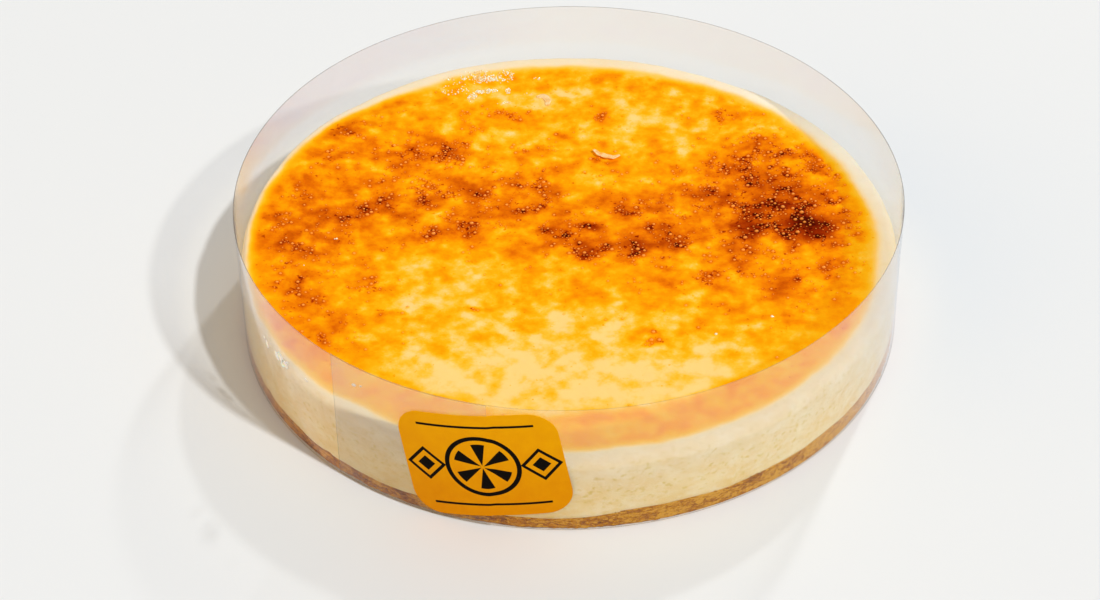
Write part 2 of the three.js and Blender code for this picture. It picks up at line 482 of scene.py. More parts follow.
@dataclass(frozen=True)
class BakedCustard:
    """Cream cheese custard, grilled on top and pale at the sides, moist and faintly shiny.

    To the eye the top runs from cream over yellow and amber to near black in fine freckles, with
    glossy caramelised blisters, and the sides are a curdled cream with small olive pits.
    """

    name: str = "baked_custard"
    shine: float = 0.004  # grilled skin is nearly matt, so its colours stay deep
    depth: float = 0.12  # how much of the light comes back out of the custard's body
    mottle: float = 10.0  # size of the soft yellow and orange patches
    fleck: float = 4.5
    freckle: float = 1.8
    wrinkle: float = 0.9
    palest: float = 0.1  # browned skin is never paler than this level

    def dress(self) -> bpy.types.Material:
        """Makes the material, which reads the bake, char, cover and gloss attributes."""
        material, tree = new_material(self.name)
        place = add_node(tree, "TexCoord").outputs["Object"]
        bake, char, cover, gloss_and_highlight = (
            add_node(tree, "Attribute", attribute_name=name).outputs["Fac"]
            for name in ("bake", "char", "cover", "gloss_and_highlight")
        )
        mottle, fleck, freckle, wrinkle = (
            add_node(
                tree, "TexNoise",
                {"Vector": place, "Scale": 1 / (size * MM), "Detail": detail, "Roughness": 0.5},
            ).outputs["Fac"]
            for size, detail in (
                (self.mottle, 2.0), (self.fleck, 2.0), (self.freckle, 2.0), (self.wrinkle, 3.0)
            )
        )
        # The unbaked rim and sides stay plain, so the mottling comes in with the first browning
        browned = add_node(
            tree, "MapRange", {"Value": cover, "From Min": 0.02, "From Max": 0.5},
            interpolation_type="SMOOTHSTEP",
        ).outputs["Result"]
        # The patches stand out most in the amber, less in the palest and the darkest skin
        rise, fall = (
            add_node(
                tree, "MapRange",
                {
                    "Value": bake, "From Min": start, "From Max": end,
                    "To Min": low, "To Max": high,
                },
            ).outputs["Result"]
            for start, end, low, high in ((0.12, 0.45, 0.48, 0.78), (0.5, 0.8, 1.0, 0.55))
        )
        strength = add_node(tree, "Math", {0: rise, 1: fall}, operation="MULTIPLY").outputs[0]
        # Towards the front rim the skin is browned more evenly
        from_back = add_node(
            tree, "Mapping",
            {"Vector": place, "Location": (0.0, -30 * MM, 0.0), "Scale": (1.0, 1.0, 0.0)},
        ).outputs["Vector"]
        away = add_node(
            tree, "VectorMath", {0: from_back}, operation="LENGTH"
        ).outputs["Value"]
        even = add_node(
            tree, "MapRange",
            {
                "Value": away, "From Min": 110 * MM, "From Max": 128 * MM,
                "To Min": 1.0, "To Max": 0.5,
            },
        ).outputs["Result"]
        strength = add_node(tree, "Math", {0: strength, 1: even}, operation="MULTIPLY").outputs[0]
        settled = add_node(tree, "Math", {0: cover, 1: 3.0}, operation="POWER").outputs[0]
        shown = add_node(tree, "Math", {0: settled, 1: strength}, operation="MULTIPLY").outputs[0]
        mottled = self.shift(tree, bake, mottle, 1.0, shown)
        mottled = self.shift(tree, mottled, fleck, 0.6, shown)
        mottled = self.shift(tree, mottled, wrinkle, 0.16, shown)
        floor = add_node(tree, "Math", {0: cover, 1: self.palest}, operation="MULTIPLY").outputs[0]
        mottled = add_node(
            tree, "Math", {0: mottled, 1: floor, 2: 0.05}, operation="SMOOTH_MAX"
        ).outputs[0]
        # Dark freckles where the char is: the more char, the more of the noise passes the bar
        bar = add_node(
            tree, "MapRange",
            {"Value": char, "From Min": 0.0, "From Max": 1.0, "To Min": 0.70, "To Max": 0.44},
        ).outputs["Result"]
        over = add_node(tree, "Math", {0: freckle, 1: bar}, operation="SUBTRACT").outputs[0]
        speckled = add_node(
            tree, "MapRange",
            {"Value": over, "From Min": 0.0, "From Max": 0.16, "To Min": 0.0, "To Max": 0.24},
            interpolation_type="SMOOTHSTEP",
        ).outputs["Result"]
        level = add_node(
            tree, "Math", {0: mottled, 1: speckled}, operation="ADD", use_clamp=True
        ).outputs[0]
        top_colour = add_node(
            tree, "ValToRGB", {"Fac": level},
            stops=(
                (0.0, "F1E2C4"), (0.05, "F8DA9A"), (0.1, "FCD380"), (0.14, "FCC95C"),
                (0.18, "FCC036"), (0.23, "FCB512"), (0.3, "FBA404"), (0.37, "F69404"),
                (0.46, "ED7E03"), (0.55, "DD6903"), (0.65, "C55302"), (0.75, "AA3A01"),
                (0.86, "8C2300"), (1.0, "500A00"),
            ),
        ).outputs["Color"]
        skin_colour = add_node(
            tree, "Mix",
            {0: browned, 6: self.side_colour(tree, place), 7: top_colour}, data_type="RGBA",
        ).outputs[2]
        # Crowns are painted pale amber, partly the thinner caramel's own colour and partly a painted
        # highlight, and browner on the darkest skin
        amber = add_node(
            tree, "MapRange",
            {"Value": bake, "From Min": 0.55, "From Max": 1.0, "To Min": 0.9, "To Max": 0.7},
        ).outputs["Result"]
        crown = add_node(tree, "Math", {0: gloss_and_highlight, 1: amber}, operation="MULTIPLY").outputs[0]
        colour = add_node(
            tree, "Mix", {0: crown, 6: skin_colour, 7: linear("FFA040")}, data_type="RGBA"
        ).outputs[2]
        skin_rough = add_node(
            tree, "MapRange",
            {"Value": fleck, "From Min": 0.3, "From Max": 0.7, "To Min": 0.36, "To Max": 0.56},
        ).outputs["Result"]
        rough = add_node(
            tree, "Mix", {0: gloss_and_highlight, 2: skin_rough, 3: 0.28}, data_type="FLOAT"
        ).outputs[0]
        fine = add_node(
            tree, "Bump", {"Strength": 0.35, "Distance": 0.15 * MM, "Height": wrinkle}
        ).outputs["Normal"]
        coarse = add_node(
            tree, "Bump", {"Strength": 0.5, "Distance": 0.4 * MM, "Height": fleck, "Normal": fine}
        ).outputs["Normal"]
        shader = add_node(
            tree, "BsdfPrincipled",
            {
                "Base Color": colour, "Roughness": rough, "Normal": coarse, "IOR": 1.45,
                "Specular IOR Level": self.shine, "Subsurface Weight": self.depth,
                "Subsurface Radius": (1.0, 0.5, 0.2), "Subsurface Scale": 1.2 * MM,
            },
        ).outputs[0]
        add_node(tree, "OutputMaterial", {"Surface": shader})
        return material

    @staticmethod
    def shift(
        tree: bpy.types.NodeTree,
        level: bpy.types.NodeSocket,
        pattern: bpy.types.NodeSocket,
        amount: float,
        where: bpy.types.NodeSocket,
    ) -> bpy.types.NodeSocket:
        """Moves a level up and down by a pattern.

        Args:
            tree: the node tree
            level: the level to move
            pattern: noise about 0.5
            amount: how far the level moves for each unit of noise
            where: how much of the pattern shows

        Returns:
            the moved level
        """
        scaled = add_node(
            tree, "Math", {0: pattern, 1: amount, 2: -0.5 * amount}, operation="MULTIPLY_ADD"
        ).outputs[0]
        return add_node(
            tree, "Math", {0: scaled, 1: where, 2: level}, operation="MULTIPLY_ADD"
        ).outputs[0]

    @staticmethod
    def side_colour(
        tree: bpy.types.NodeTree, place: bpy.types.NodeSocket
    ) -> bpy.types.NodeSocket:
        """Makes the pale, curdled colour of the unbrowned sides.

        Args:
            tree: the node tree
            place: Object coordinates

        Returns:
            the colour
        """
        height = add_node(tree, "SeparateXYZ", {"Vector": place}).outputs["Z"]
        flat = add_node(
            tree, "Mapping", {"Vector": place, "Scale": (1.0, 1.0, 1.5)}
        ).outputs["Vector"]
        clouds, curds, flecks = (
            add_node(
                tree, "TexNoise",
                {"Vector": flat, "Scale": 1 / (size * MM), "Detail": detail, "Roughness": 0.55},
            ).outputs["Fac"]
            for size, detail in ((11.0, 2.0), (4.2, 2.5), (2.2, 2.0))
        )
        upward = add_node(
            tree, "MapRange",
            {
                "Value": height, "From Min": 5 * MM, "From Max": 24 * MM,
                "To Min": -0.06, "To Max": 0.05,
            },
        ).outputs["Result"]
        tone = add_node(tree, "Math", {0: clouds, 1: upward}, operation="ADD").outputs[0]
        cream = add_node(
            tree, "ValToRGB", {"Fac": tone},
            stops=((0.2, "E5C480"), (0.4, "EACF98"), (0.6, "EDD7A8"), (0.8, "F1E0BC")),
        ).outputs["Color"]
        # Whitish curds, and flecks of yellow whey that are thickest half way up
        curd = add_node(
            tree, "MapRange", {"Value": curds, "From Min": 0.48, "From Max": 0.7, "To Max": 0.55}
        ).outputs["Result"]
        curdled = add_node(
            tree, "Mix", {0: curd, 6: cream, 7: linear("F0DFBE")}, data_type="RGBA"
        ).outputs[2]
        rising, falling = (
            add_node(
                tree, "MapRange",
                {
                    "Value": height, "From Min": low * MM, "From Max": high * MM,
                    "To Min": start, "To Max": end,
                },
            ).outputs["Result"]
            for low, high, start, end in ((6, 15, 0.3, 1.0), (22, 31, 0.65, 0.35))
        )
        shown = add_node(tree, "Math", {0: rising, 1: falling}, operation="MULTIPLY").outputs[0]
        fleck = add_node(
            tree, "MapRange", {"Value": flecks, "From Min": 0.55, "From Max": 0.72}
        ).outputs["Result"]
        whey = add_node(tree, "Math", {0: fleck, 1: shown}, operation="MULTIPLY").outputs[0]
        flecked = add_node(
            tree, "Mix", {0: whey, 6: curdled, 7: linear("D6B854")}, data_type="RGBA"
        ).outputs[2]
        # The rounded edge is the plainest and palest part, and is painted whitest at the back right as
        # painted sheen from the light behind
        edge = add_node(
            tree, "MapRange", {"Value": height, "From Min": 26 * MM, "From Max": 32 * MM}
        ).outputs["Result"]
        outward = add_node(
            tree, "VectorMath", {0: place, 1: (0.82, 0.57, 0.0)}, operation="DOT_PRODUCT"
        ).outputs["Value"]
        painted_sheen_back_right = add_node(
            tree, "MapRange",
            {"Value": outward, "From Min": 80 * MM, "From Max": 118 * MM},
            interpolation_type="SMOOTHSTEP",
        ).outputs["Result"]
        pale = add_node(
            tree, "Mix",
            {0: painted_sheen_back_right, 6: linear("F2E2C2"), 7: linear("FFF9E8")}, data_type="RGBA",
        ).outputs[2]
        return add_node(
            tree, "Mix", {0: edge, 6: flecked, 7: pale}, data_type="RGBA"
        ).outputs[2]


@dataclass
class BlisterField:
    """Where the blisters stand, thick on the charred places and few elsewhere."""

    pattern: CrustPattern
    tries: int = 90000
    most: int = 4200
    thickness_power: float = 2.6
    chance_at_char: float = 1.0
    small: float = 0.36
    large: float = 1.0
    spacing: float = 1.2
    dark: tuple[float, float] = (0.07, 0.26)
    reach: float = 109.0
    cell: float = 4.0
    spots: list[tuple[float, float, float, float]] = field(default_factory=list)

    def __post_init__(self) -> None:
        """Draws each blister's place, radius and the darkness about it."""
        self.cells: dict[tuple[int, int], list[tuple[float, float, float, float]]] = {}
        chance = random.Random(SEED)
        for _ in range(self.tries):
            x, y = (chance.uniform(-self.reach, self.reach) for _ in range(2))
            pick, size = chance.random(), chance.random()
            if math.hypot(x, y) > self.reach or len(self.spots) >= self.most:
                continue
            _, char, _ = self.pattern.at(x, y)
            if pick > self.chance_at_char * char**self.thickness_power:
                continue
            radius = mix(self.small, self.large, size**3 * (0.35 + 0.65 * char))
            if any(
                math.hypot(x - a, y - b) < self.spacing * (radius + r)
                for a, b, r, _ in self.near(x, y)
            ):
                continue
            spot = (x, y, radius, mix(*self.dark, char))
            self.cells.setdefault(self.cell_of(x, y), []).append(spot)
            self.spots.append(spot)

    def cell_of(self, x: float, y: float) -> tuple[int, int]:
        """Gives the square cell that a place lies in."""
        return math.floor(x / self.cell), math.floor(y / self.cell)

    def near(self, x: float, y: float) -> list[tuple[float, float, float, float]]:
        """Gives the blisters in the cells round a place."""
        across, along = self.cell_of(x, y)
        return [
            spot
            for column in (across - 1, across, across + 1)
            for row in (along - 1, along, along + 1)
            for spot in self.cells.get((column, row), ())
        ]

    def darkening(self, x: float, y: float) -> float:
        """Gives how much the blisters near a place darken the skin there.

        Args:
            x: place in millimetres
            y: place in millimetres

        Returns:
            a share of the way to black
        """
        left = 1.0
        for a, b, radius, dark in self.near(x, y):
            away = max(0.0, math.hypot(x - a, y - b) / radius - 0.9)
            if away < 3:
                left *= 1 - dark * math.exp(-0.9 * away * away)
        return 1 - left


@dataclass
class Custard:
    """The cheesecake itself: a flat disc with a rounded shoulder and a grilled, uneven top."""

    height: float = 29.0
    foot: float = 5.0
    foot_radius: float = 120.0
    tuck: float = 0.8  # how far the foot sinks into the biscuit's rough upper edge
    shoulder_radius: float = 119.8
    shoulder_width: float = 3.8
    shoulder_drop: float = 3.1
    centre_sag: float = 0.9
    sag_radius: float = 108.0
    relief: float = 0.45
    relief_length: float = 62.0
    dents: float = 0.2
    dents_length: float = 40.0
    rim_rise_from: float = 66.0
    grid_steps: int = 256
    shoulder_rows: int = 8
    side_rows: int = 14
    pattern: CrustPattern = field(default_factory=CrustPattern)

    def __post_init__(self) -> None:
        """Draws the blisters' places, because the skin darkens about them."""
        self.blisters = BlisterField(self.pattern)

    def browning(self, x: float, y: float, drop: float = 0.0) -> tuple[float, float, float]:
        """Gives bake, char and cover at a place, with the dark rings about the blisters.

        Args:
            x: place in millimetres
            y: place in millimetres
            drop: how far the place lies below the flat top

        Returns:
            bake, char and cover, each from 0 to 1
        """
        bake, char, cover = self.pattern.at(x, y, drop)
        bake += self.blisters.darkening(x, y) * (1 - bake)
        return bake, char, cover

    def top_height(self, x: float, y: float) -> float:
        """Gives the height of the grilled top over a place, in millimetres."""
        inward = min(1.0, math.hypot(x, y) / self.sag_radius)
        sag = self.centre_sag * (1 - inward**2)
        wrinkles = 0.13 * ripple(x, y, 1.0, 7.0) + 0.07 * ripple(x, y, 2.0, 3.2)
        waves = self.relief * unevenness(x, y, self.relief_length)
        return self.height - sag + waves + wrinkles + self.rim_lift(x, y)

    def rim_lift(self, x: float, y: float) -> float:
        """Gives how much higher than the middle the top stands towards the rim, in millimetres."""
        outer = smoothstep(math.hypot(x, y), self.rim_rise_from, self.shoulder_radius)
        return outer * round_the_cake(RIM_RISE, x, y)

    def shoulder_place(self, share: float) -> tuple[float, float]:
        """Gives radius and height on the rounded edge, from the top at 0 to the side at 1."""
        angle = share * math.pi / 2
        inward = self.shoulder_width * (1 - math.sin(angle))
        drop = self.shoulder_drop * (1 - math.cos(angle))
        return self.shoulder_radius - inward, self.height - drop

    def build(self) -> None:
        """Builds the body of the cake."""
        mesh = bmesh.new()
        bmesh.ops.create_grid(
            mesh, x_segments=self.grid_steps, y_segments=self.grid_steps, size=1.0
        )
        inner = self.shoulder_radius - self.shoulder_width
        for corner in mesh.verts:
            x, y = square_to_disc(corner.co.x, corner.co.y)
            corner.co = Vector((x * inner, y * inner, self.height))
        ring = [edge for edge in mesh.edges if edge.is_boundary]
        rows = [
            self.shoulder_place((row + 1) / self.shoulder_rows)
            for row in range(self.shoulder_rows)
        ]
        side_top = self.height - self.shoulder_drop
        for row in range(self.side_rows):
            share = (row + 1) / self.side_rows
            radius = mix(self.shoulder_radius, self.foot_radius, share)
            rows.append((radius, mix(side_top, self.foot, share)))
        rows.append((self.foot_radius - self.tuck, self.foot - self.tuck))
        rows.append((self.shoulder_radius - 4 * self.shoulder_width, self.foot - self.tuck))
        for radius, height in rows:
            ring = extrude_ring(
                mesh, ring, lambda corner, r=radius, h=height: on_circle(corner, r, h)
            )
        bmesh.ops.contextual_create(mesh, geom=ring)
        self.shape(mesh)
        bmesh.ops.recalc_face_normals(mesh, faces=mesh.faces)
        bmesh.ops.scale(mesh, vec=(MM, MM, MM), verts=mesh.verts)
        finish_piece(mesh, "custard_body", Slot.CUSTARD, [BakedCustard().dress()], "custard")

    def shape(self, mesh: bmesh.types.BMesh) -> None:
        """Gives every corner its unevenness and its browning.

        Args:
            mesh: the smooth body in millimetres
        """
        bake, char, cover = (
            mesh.verts.layers.float.new(name) for name in ("bake", "char", "cover")
        )
        side_top = self.height - self.shoulder_drop
        for corner in mesh.verts:
            x, y, z = corner.co
            angle = math.atan2(y, x)
            radius = math.hypot(x, y)
            on_top = smoothstep(z, side_top, self.height)
            if on_top > 0:
                browning = self.browning(x, y, self.height - z)
                corner[bake], corner[char], corner[cover] = browning
            outer = smoothstep(radius, self.sag_radius, self.shoulder_radius - self.shoulder_width)
            push = out_of_round(angle) + self.dents * unevenness(x + z, y - z, self.dents_length)
            push += 0.14 * ripple(x, y, 1.5 * z, 5.0)
            factor = 1 + outer * push / max(radius, self.foot_radius)
            z += on_top * (self.top_height(x, y) - self.height)
            z += (1 - smoothstep(z, self.foot, self.foot + 4)) * BISCUIT_LAYER.lift(x, y)
            corner.co = Vector((x * factor, y * factor, z))


@dataclass
class Blisters:
    """One kind of small round blister on the charred places, with a dark foot and a pale crown, partly a
    painted highlight.
    """

    name: str
    sizes: tuple[float, float]
    segments: int
    peak: float
    shine: float
    # Each ring of a blister: its radius and height in blister radii, its height over the skin in
    # millimetres, how much darker than the skin it is, and how much it is glazed. A crown's lower
    # darkness and its glaze paint it pale, partly its own colour and partly a painted highlight
    rings: tuple[tuple[float, float, float, float, float], ...]

    def build(self, custard: Custard) -> None:
        """Builds all blisters of this kind as one piece, each draped over the skin.

        Args:
            custard: the body that they rise from
        """
        one = bmesh.new()
        radius = self.rings[0][0]
        bmesh.ops.create_circle(
            one, cap_ends=True, cap_tris=True, segments=self.segments, radius=radius
        )
        for face in one.faces:
            face.material_index = 1
        ring = [edge for edge in one.edges if edge.is_boundary]
        for number, (radius, *_) in enumerate(self.rings[1:], 1):
            ring = extrude_ring(
                one, ring, lambda corner, r=radius, h=number: on_circle(corner, r, h)
            )
        for face in one.faces:
            if max(corner.co.z for corner in face.verts) > 0:
                face.material_index = 0
        shape = bpy.data.meshes.new("blister_shape")
        one.to_mesh(shape)
        one.free()
        mesh = bmesh.new()
        low, high = self.sizes
        spots = [spot for spot in custard.blisters.spots if low <= spot[2] < high]
        for _ in spots:
            mesh.from_mesh(shape)
        layers = [mesh.verts.layers.float.new(name) for name in ("bake", "char", "cover", "gloss_and_highlight")]
        for number, corner in enumerate(mesh.verts):
            self.drape(corner, spots[number // len(shape.vertices)], custard, layers)
        bpy.data.meshes.remove(shape)
        bmesh.ops.recalc_face_normals(mesh, faces=mesh.faces)
        bmesh.ops.scale(mesh, vec=(MM, MM, MM), verts=mesh.verts)
        flank = BakedCustard(name=f"{self.name}_flank", depth=0.0).dress()
        crown = BakedCustard(name=f"{self.name}_crown", shine=self.shine, depth=0.0).dress()
        finish_piece(mesh, self.name, Slot.CUSTARD, [flank, crown])

    def drape(
        self,
        corner: bmesh.types.BMVert,
        spot: tuple[float, float, float, float],
        custard: Custard,
        layers: list[Any],
    ) -> None:
        """Moves one corner of a blister to its place and gives it its browning.

        Args:
            corner: the corner, whose height is the number of its ring
            spot: the blister's place, radius and darkness
            custard: the body that it rises from
            layers: the bake, char, cover and gloss layers
        """
        middle_x, middle_y, size, _ = spot
        _, height, over, darker, gloss_and_highlight = self.rings[round(corner.co.z)]
        if corner.co.xy.length < 0.1:
            height = self.peak
        x, y = middle_x + size * corner.co.x, middle_y + size * corner.co.y
        bake, char, cover = custard.browning(x, y)
        for layer, value in zip(layers, (bake + darker, char * (1 - gloss_and_highlight), cover, gloss_and_highlight)):
            corner[layer] = value
        corner.co = Vector((x, y, custard.top_height(x, y) + size * height + over))


BLISTER_KINDS = (
    Blisters(
        name="crust_blisters", sizes=(0.5, 9.0), segments=8, peak=0.6, shine=0.15,
        rings=(
            (0.46, 0.52, 0.0, -0.10, 1.0),
            (0.8, 0.32, 0.0, -0.02, 0.5),
            (1.04, 0.07, 0.02, 0.08, 0.0),
            (1.4, 0.0, 0.05, 0.0, 0.0),
            (1.9, 0.0, -0.08, 0.0, 0.0),
        ),
    ),
    Blisters(
        name="crust_pinheads", sizes=(0.0, 0.5), segments=6, peak=0.6, shine=0.03,
        rings=(
            (0.7, 0.38, 0.0, -0.08, 0.55),
            (1.04, 0.08, 0.02, 0.07, 0.0),
            (1.8, 0.0, -0.08, 0.0, 0.0),
        ),
    ),
)


@dataclass(frozen=True)
class MeltedSugar:
    """Melted sugar and milk set into drops: cream coloured, wet and strongly shiny."""

    name: str
    pale: str
    deep: str
    shine: float = 0.6
    glow: float = 0.3  # how much of the light comes back out of its body
    glow_reach: float = 0.8

    def dress(self) -> bpy.types.Material:
        """Makes the material."""
        material, tree = new_material(self.name)
        place = add_node(tree, "TexCoord").outputs["Object"]
        cloud = add_node(
            tree, "TexNoise", {"Vector": place, "Scale": 1 / (2.5 * MM), "Detail": 2.0}
        ).outputs["Fac"]
        colour = add_node(
            tree, "ValToRGB", {"Fac": cloud}, stops=((0.32, self.deep), (0.56, self.pale))
        ).outputs["Color"]
        rough = add_node(
            tree, "MapRange", {"Value": cloud, "To Min": 0.1, "To Max": 0.3}
        ).outputs["Result"]
        bump = add_node(
            tree, "Bump", {"Strength": 0.2, "Distance": 0.1 * MM, "Height": cloud}
        ).outputs["Normal"]
        shader = add_node(
            tree, "BsdfPrincipled",
            {
                "Base Color": colour, "Roughness": rough, "Normal": bump,
                "Specular IOR Level": self.shine, "Subsurface Weight": self.glow,
                "Subsurface Radius": (1.0, 0.6, 0.3), "Subsurface Scale": self.glow_reach * MM,
            },
        ).outputs[0]
        add_node(tree, "OutputMaterial", {"Surface": shader})
        return material


@dataclass(frozen=True)
class BeadPatch:
    """One group of sugar beads: an ellipse on the top, and how many beads it holds."""

    x: float
    y: float
    long: float
    wide: float
    turn: float
    count: int


@dataclass
class SugarBeads:
    """Beads of melted sugar that glint on the skin, most of them near the back rim, their pale cream
    partly a painted glint.
    """

    segments: int = 8
    rows: tuple[tuple[float, float], ...] = ((0.5, 0.78), (0.85, 0.42), (1.0, 0.0), (0.9, -0.5))
    peak: float = 0.9
    sizes: tuple[float, float] = (0.2, 0.56)
    patches: tuple[BeadPatch, ...] = (
        BeadPatch(-31.5, 103.2, 5.5, 1.7, -5, 90),
        BeadPatch(-34.5, 104.6, 7.5, 4.8, 0, 90),
        BeadPatch(-36.2, 91.0, 3.2, 1.5, 65, 56),
        BeadPatch(-30.6, 94.8, 4.6, 1.3, 10, 66),
        BeadPatch(-23.5, 105.0, 4.0, 4.8, -30, 60),
        BeadPatch(-22.0, 95.4, 1.0, 1.8, 0, 18),
        BeadPatch(-43.0, 96.0, 5.5, 5.5, 40, 34),
        BeadPatch(-46.0, 102.5, 2.4, 1.4, 0, 10),
        BeadPatch(-10.0, 103.7, 1.6, 1.0, 0, 5),
        BeadPatch(-14.0, 93.8, 1.8, 1.0, 0, 5),
        BeadPatch(-23.6, 87.2, 2.6, 1.2, 0, 12),
        BeadPatch(49.9, -55.5, 0.8, 0.5, 0, 2),
        BeadPatch(70.7, -47.0, 0.8, 0.5, 0, 2),
        BeadPatch(-84.8, 2.1, 0.8, 0.5, 0, 2),
        BeadPatch(-95.0, -14.7, 0.8, 0.5, 0, 2),
    )

    def build(self, custard: Custard) -> None:
        """Builds all the beads as one piece, half sunk in the skin.

        Args:
            custard: the body that they lie on
        """
        one = bmesh.new()
        radius, height = self.rows[0]
        bmesh.ops.create_circle(
            one, cap_ends=True, cap_tris=True, segments=self.segments, radius=radius
        )
        for corner in one.verts:
            corner.co.z = self.peak if corner.co.length < 0.1 else height
        ring = [edge for edge in one.edges if edge.is_boundary]
        for radius, height in self.rows[1:]:
            ring = extrude_ring(
                one, ring, lambda corner, r=radius, h=height: on_circle(corner, r, h)
            )
        bmesh.ops.contextual_create(one, geom=ring)
        shape = bpy.data.meshes.new("bead_shape")
        one.to_mesh(shape)
        one.free()
        chance = random.Random(SEED + 1)
        spots = []
        for patch in self.patches:
            turn = math.radians(patch.turn)
            for _ in range(patch.count):
                angle, away = chance.uniform(0, math.tau), math.sqrt(chance.random())
                along = patch.long * away * math.cos(angle)
                across = patch.wide * away * math.sin(angle)
                x = patch.x + along * math.cos(turn) - across * math.sin(turn)
                y = patch.y + along * math.sin(turn) + across * math.cos(turn)
                spots.append((x, y, mix(*self.sizes, chance.random() ** 2)))
        mesh = bmesh.new()
        for _ in spots:
            mesh.from_mesh(shape)
        for number, corner in enumerate(mesh.verts):
            x, y, size = spots[number // len(shape.vertices)]
            level = custard.top_height(x, y)
            corner.co.z *= 0.8
            corner.co = Vector((x, y, level)) + size * corner.co
        bpy.data.meshes.remove(shape)
        bmesh.ops.recalc_face_normals(mesh, faces=mesh.faces)
        bmesh.ops.scale(mesh, vec=(MM, MM, MM), verts=mesh.verts)
        # The beads' pale cream is partly the sugar's own colour and partly a painted glint
        sugar = MeltedSugar("melted_sugar_and_glint", "FFF1CC", "FCC05C", shine=0.8)
        finish_piece(mesh, "sugar_beads", Slot.CUSTARD, [sugar.dress()])


@dataclass(frozen=True)
class SkinFlake:
    """One loose flake of pale skin: where its middle line runs, and how it is shaped."""

    path: tuple[tuple[float, float], ...]
    width: float
    curl: float  # how far its long edges turn up
    lift: float  # how far its middle lies over the skin


@dataclass
class SkinFlakes:
    """Loose flakes of pale skin on the back half of the top, one of them curled up."""

    flakes: tuple[SkinFlake, ...] = (
        SkinFlake(
            ((10.9, 54.2), (12.6, 51.8), (15.6, 49.9), (18.2, 49.3), (20.8, 50.2)),
            width=2.3, curl=0.75, lift=0.35,
        ),
        SkinFlake(
            ((-10.6, 91.6), (-8.4, 92.3), (-6.8, 91.0), (-6.2, 88.4), (-6.6, 85.6)),
            width=2.8, curl=0.1, lift=0.12,
        ),
    )
    thickness: float = 0.3
    steps: tuple[int, int] = (32, 8)

    def build(self, custard: Custard) -> None:
        """Builds all flakes as one piece.

        Args:
            custard: the body that they lie on
        """
        mesh = bmesh.new()
        for flake in self.flakes:
            self.lay(mesh, flake, custard)
        bmesh.ops.recalc_face_normals(mesh, faces=mesh.faces)
        bmesh.ops.solidify(mesh, geom=mesh.faces, thickness=self.thickness)
        bmesh.ops.recalc_face_normals(mesh, faces=mesh.faces)
        bmesh.ops.scale(mesh, vec=(MM, MM, MM), verts=mesh.verts)
        skin = MeltedSugar("pale_skin_flakes", "FFD8A0", "F7B464", shine=0.15)
        finish_piece(mesh, "skin_flakes", Slot.CUSTARD, [skin.dress()])

    def lay(self, mesh: bmesh.types.BMesh, flake: SkinFlake, custard: Custard) -> None:
        """Adds one flake, bent along its middle line.

        Args:
            mesh: what the flake is added to
            flake: its line and shape
            custard: the body that it lies on
        """
        made = bmesh.ops.create_grid(
            mesh, x_segments=self.steps[0], y_segments=self.steps[1], size=0.5
        )["verts"]
        parts = len(flake.path) - 1
        for corner in made:
            along, across = (corner.co.x + 0.5) * parts, 2 * corner.co.y
            number = min(parts - 1, math.floor(along))
            share = along - number
            before, start, end, after = (
                Vector(flake.path[min(parts, max(0, number + step))]) for step in (-1, 0, 1, 2)
            )
            middle = start.lerp(end, share)
            heading = (end - before).lerp(after - start, share).normalized()
            taper = math.sin(math.pi * (0.05 + 0.9 * along / parts)) ** 0.45
            ragged = 1 + 0.25 * ripple(middle.x, middle.y, 5.0 + across, 1.6)
            offset = across * flake.width / 2 * taper * ragged
            x, y = middle.x - heading.y * offset, middle.y + heading.x * offset
            from_middle = abs(2 * along / parts - 1)
            rise = flake.lift + flake.curl * (across**2 * taper + 0.6 * from_middle**3)
            rise += 0.25 * flake.curl * ripple(x, y, 31.0, 1.5)
            corner.co = Vector((x, y, custard.top_height(x, y) + rise))


def square_to_disc(across: float, along: float) -> tuple[float, float]:
    """Maps a square from -1 to 1 onto a disc of radius 1, keeping its cells about equal.

    Args:
        across: place in the square
        along: place in the square

    Returns:
        the place in the disc
    """
    if across == along == 0:
        return 0.0, 0.0
    if abs(across) > abs(along):
        radius, angle = across, math.pi / 4 * along / across
    else:
        radius, angle = along, math.pi / 2 - math.pi / 4 * across / along
    return radius * math.cos(angle), radius * math.sin(angle)


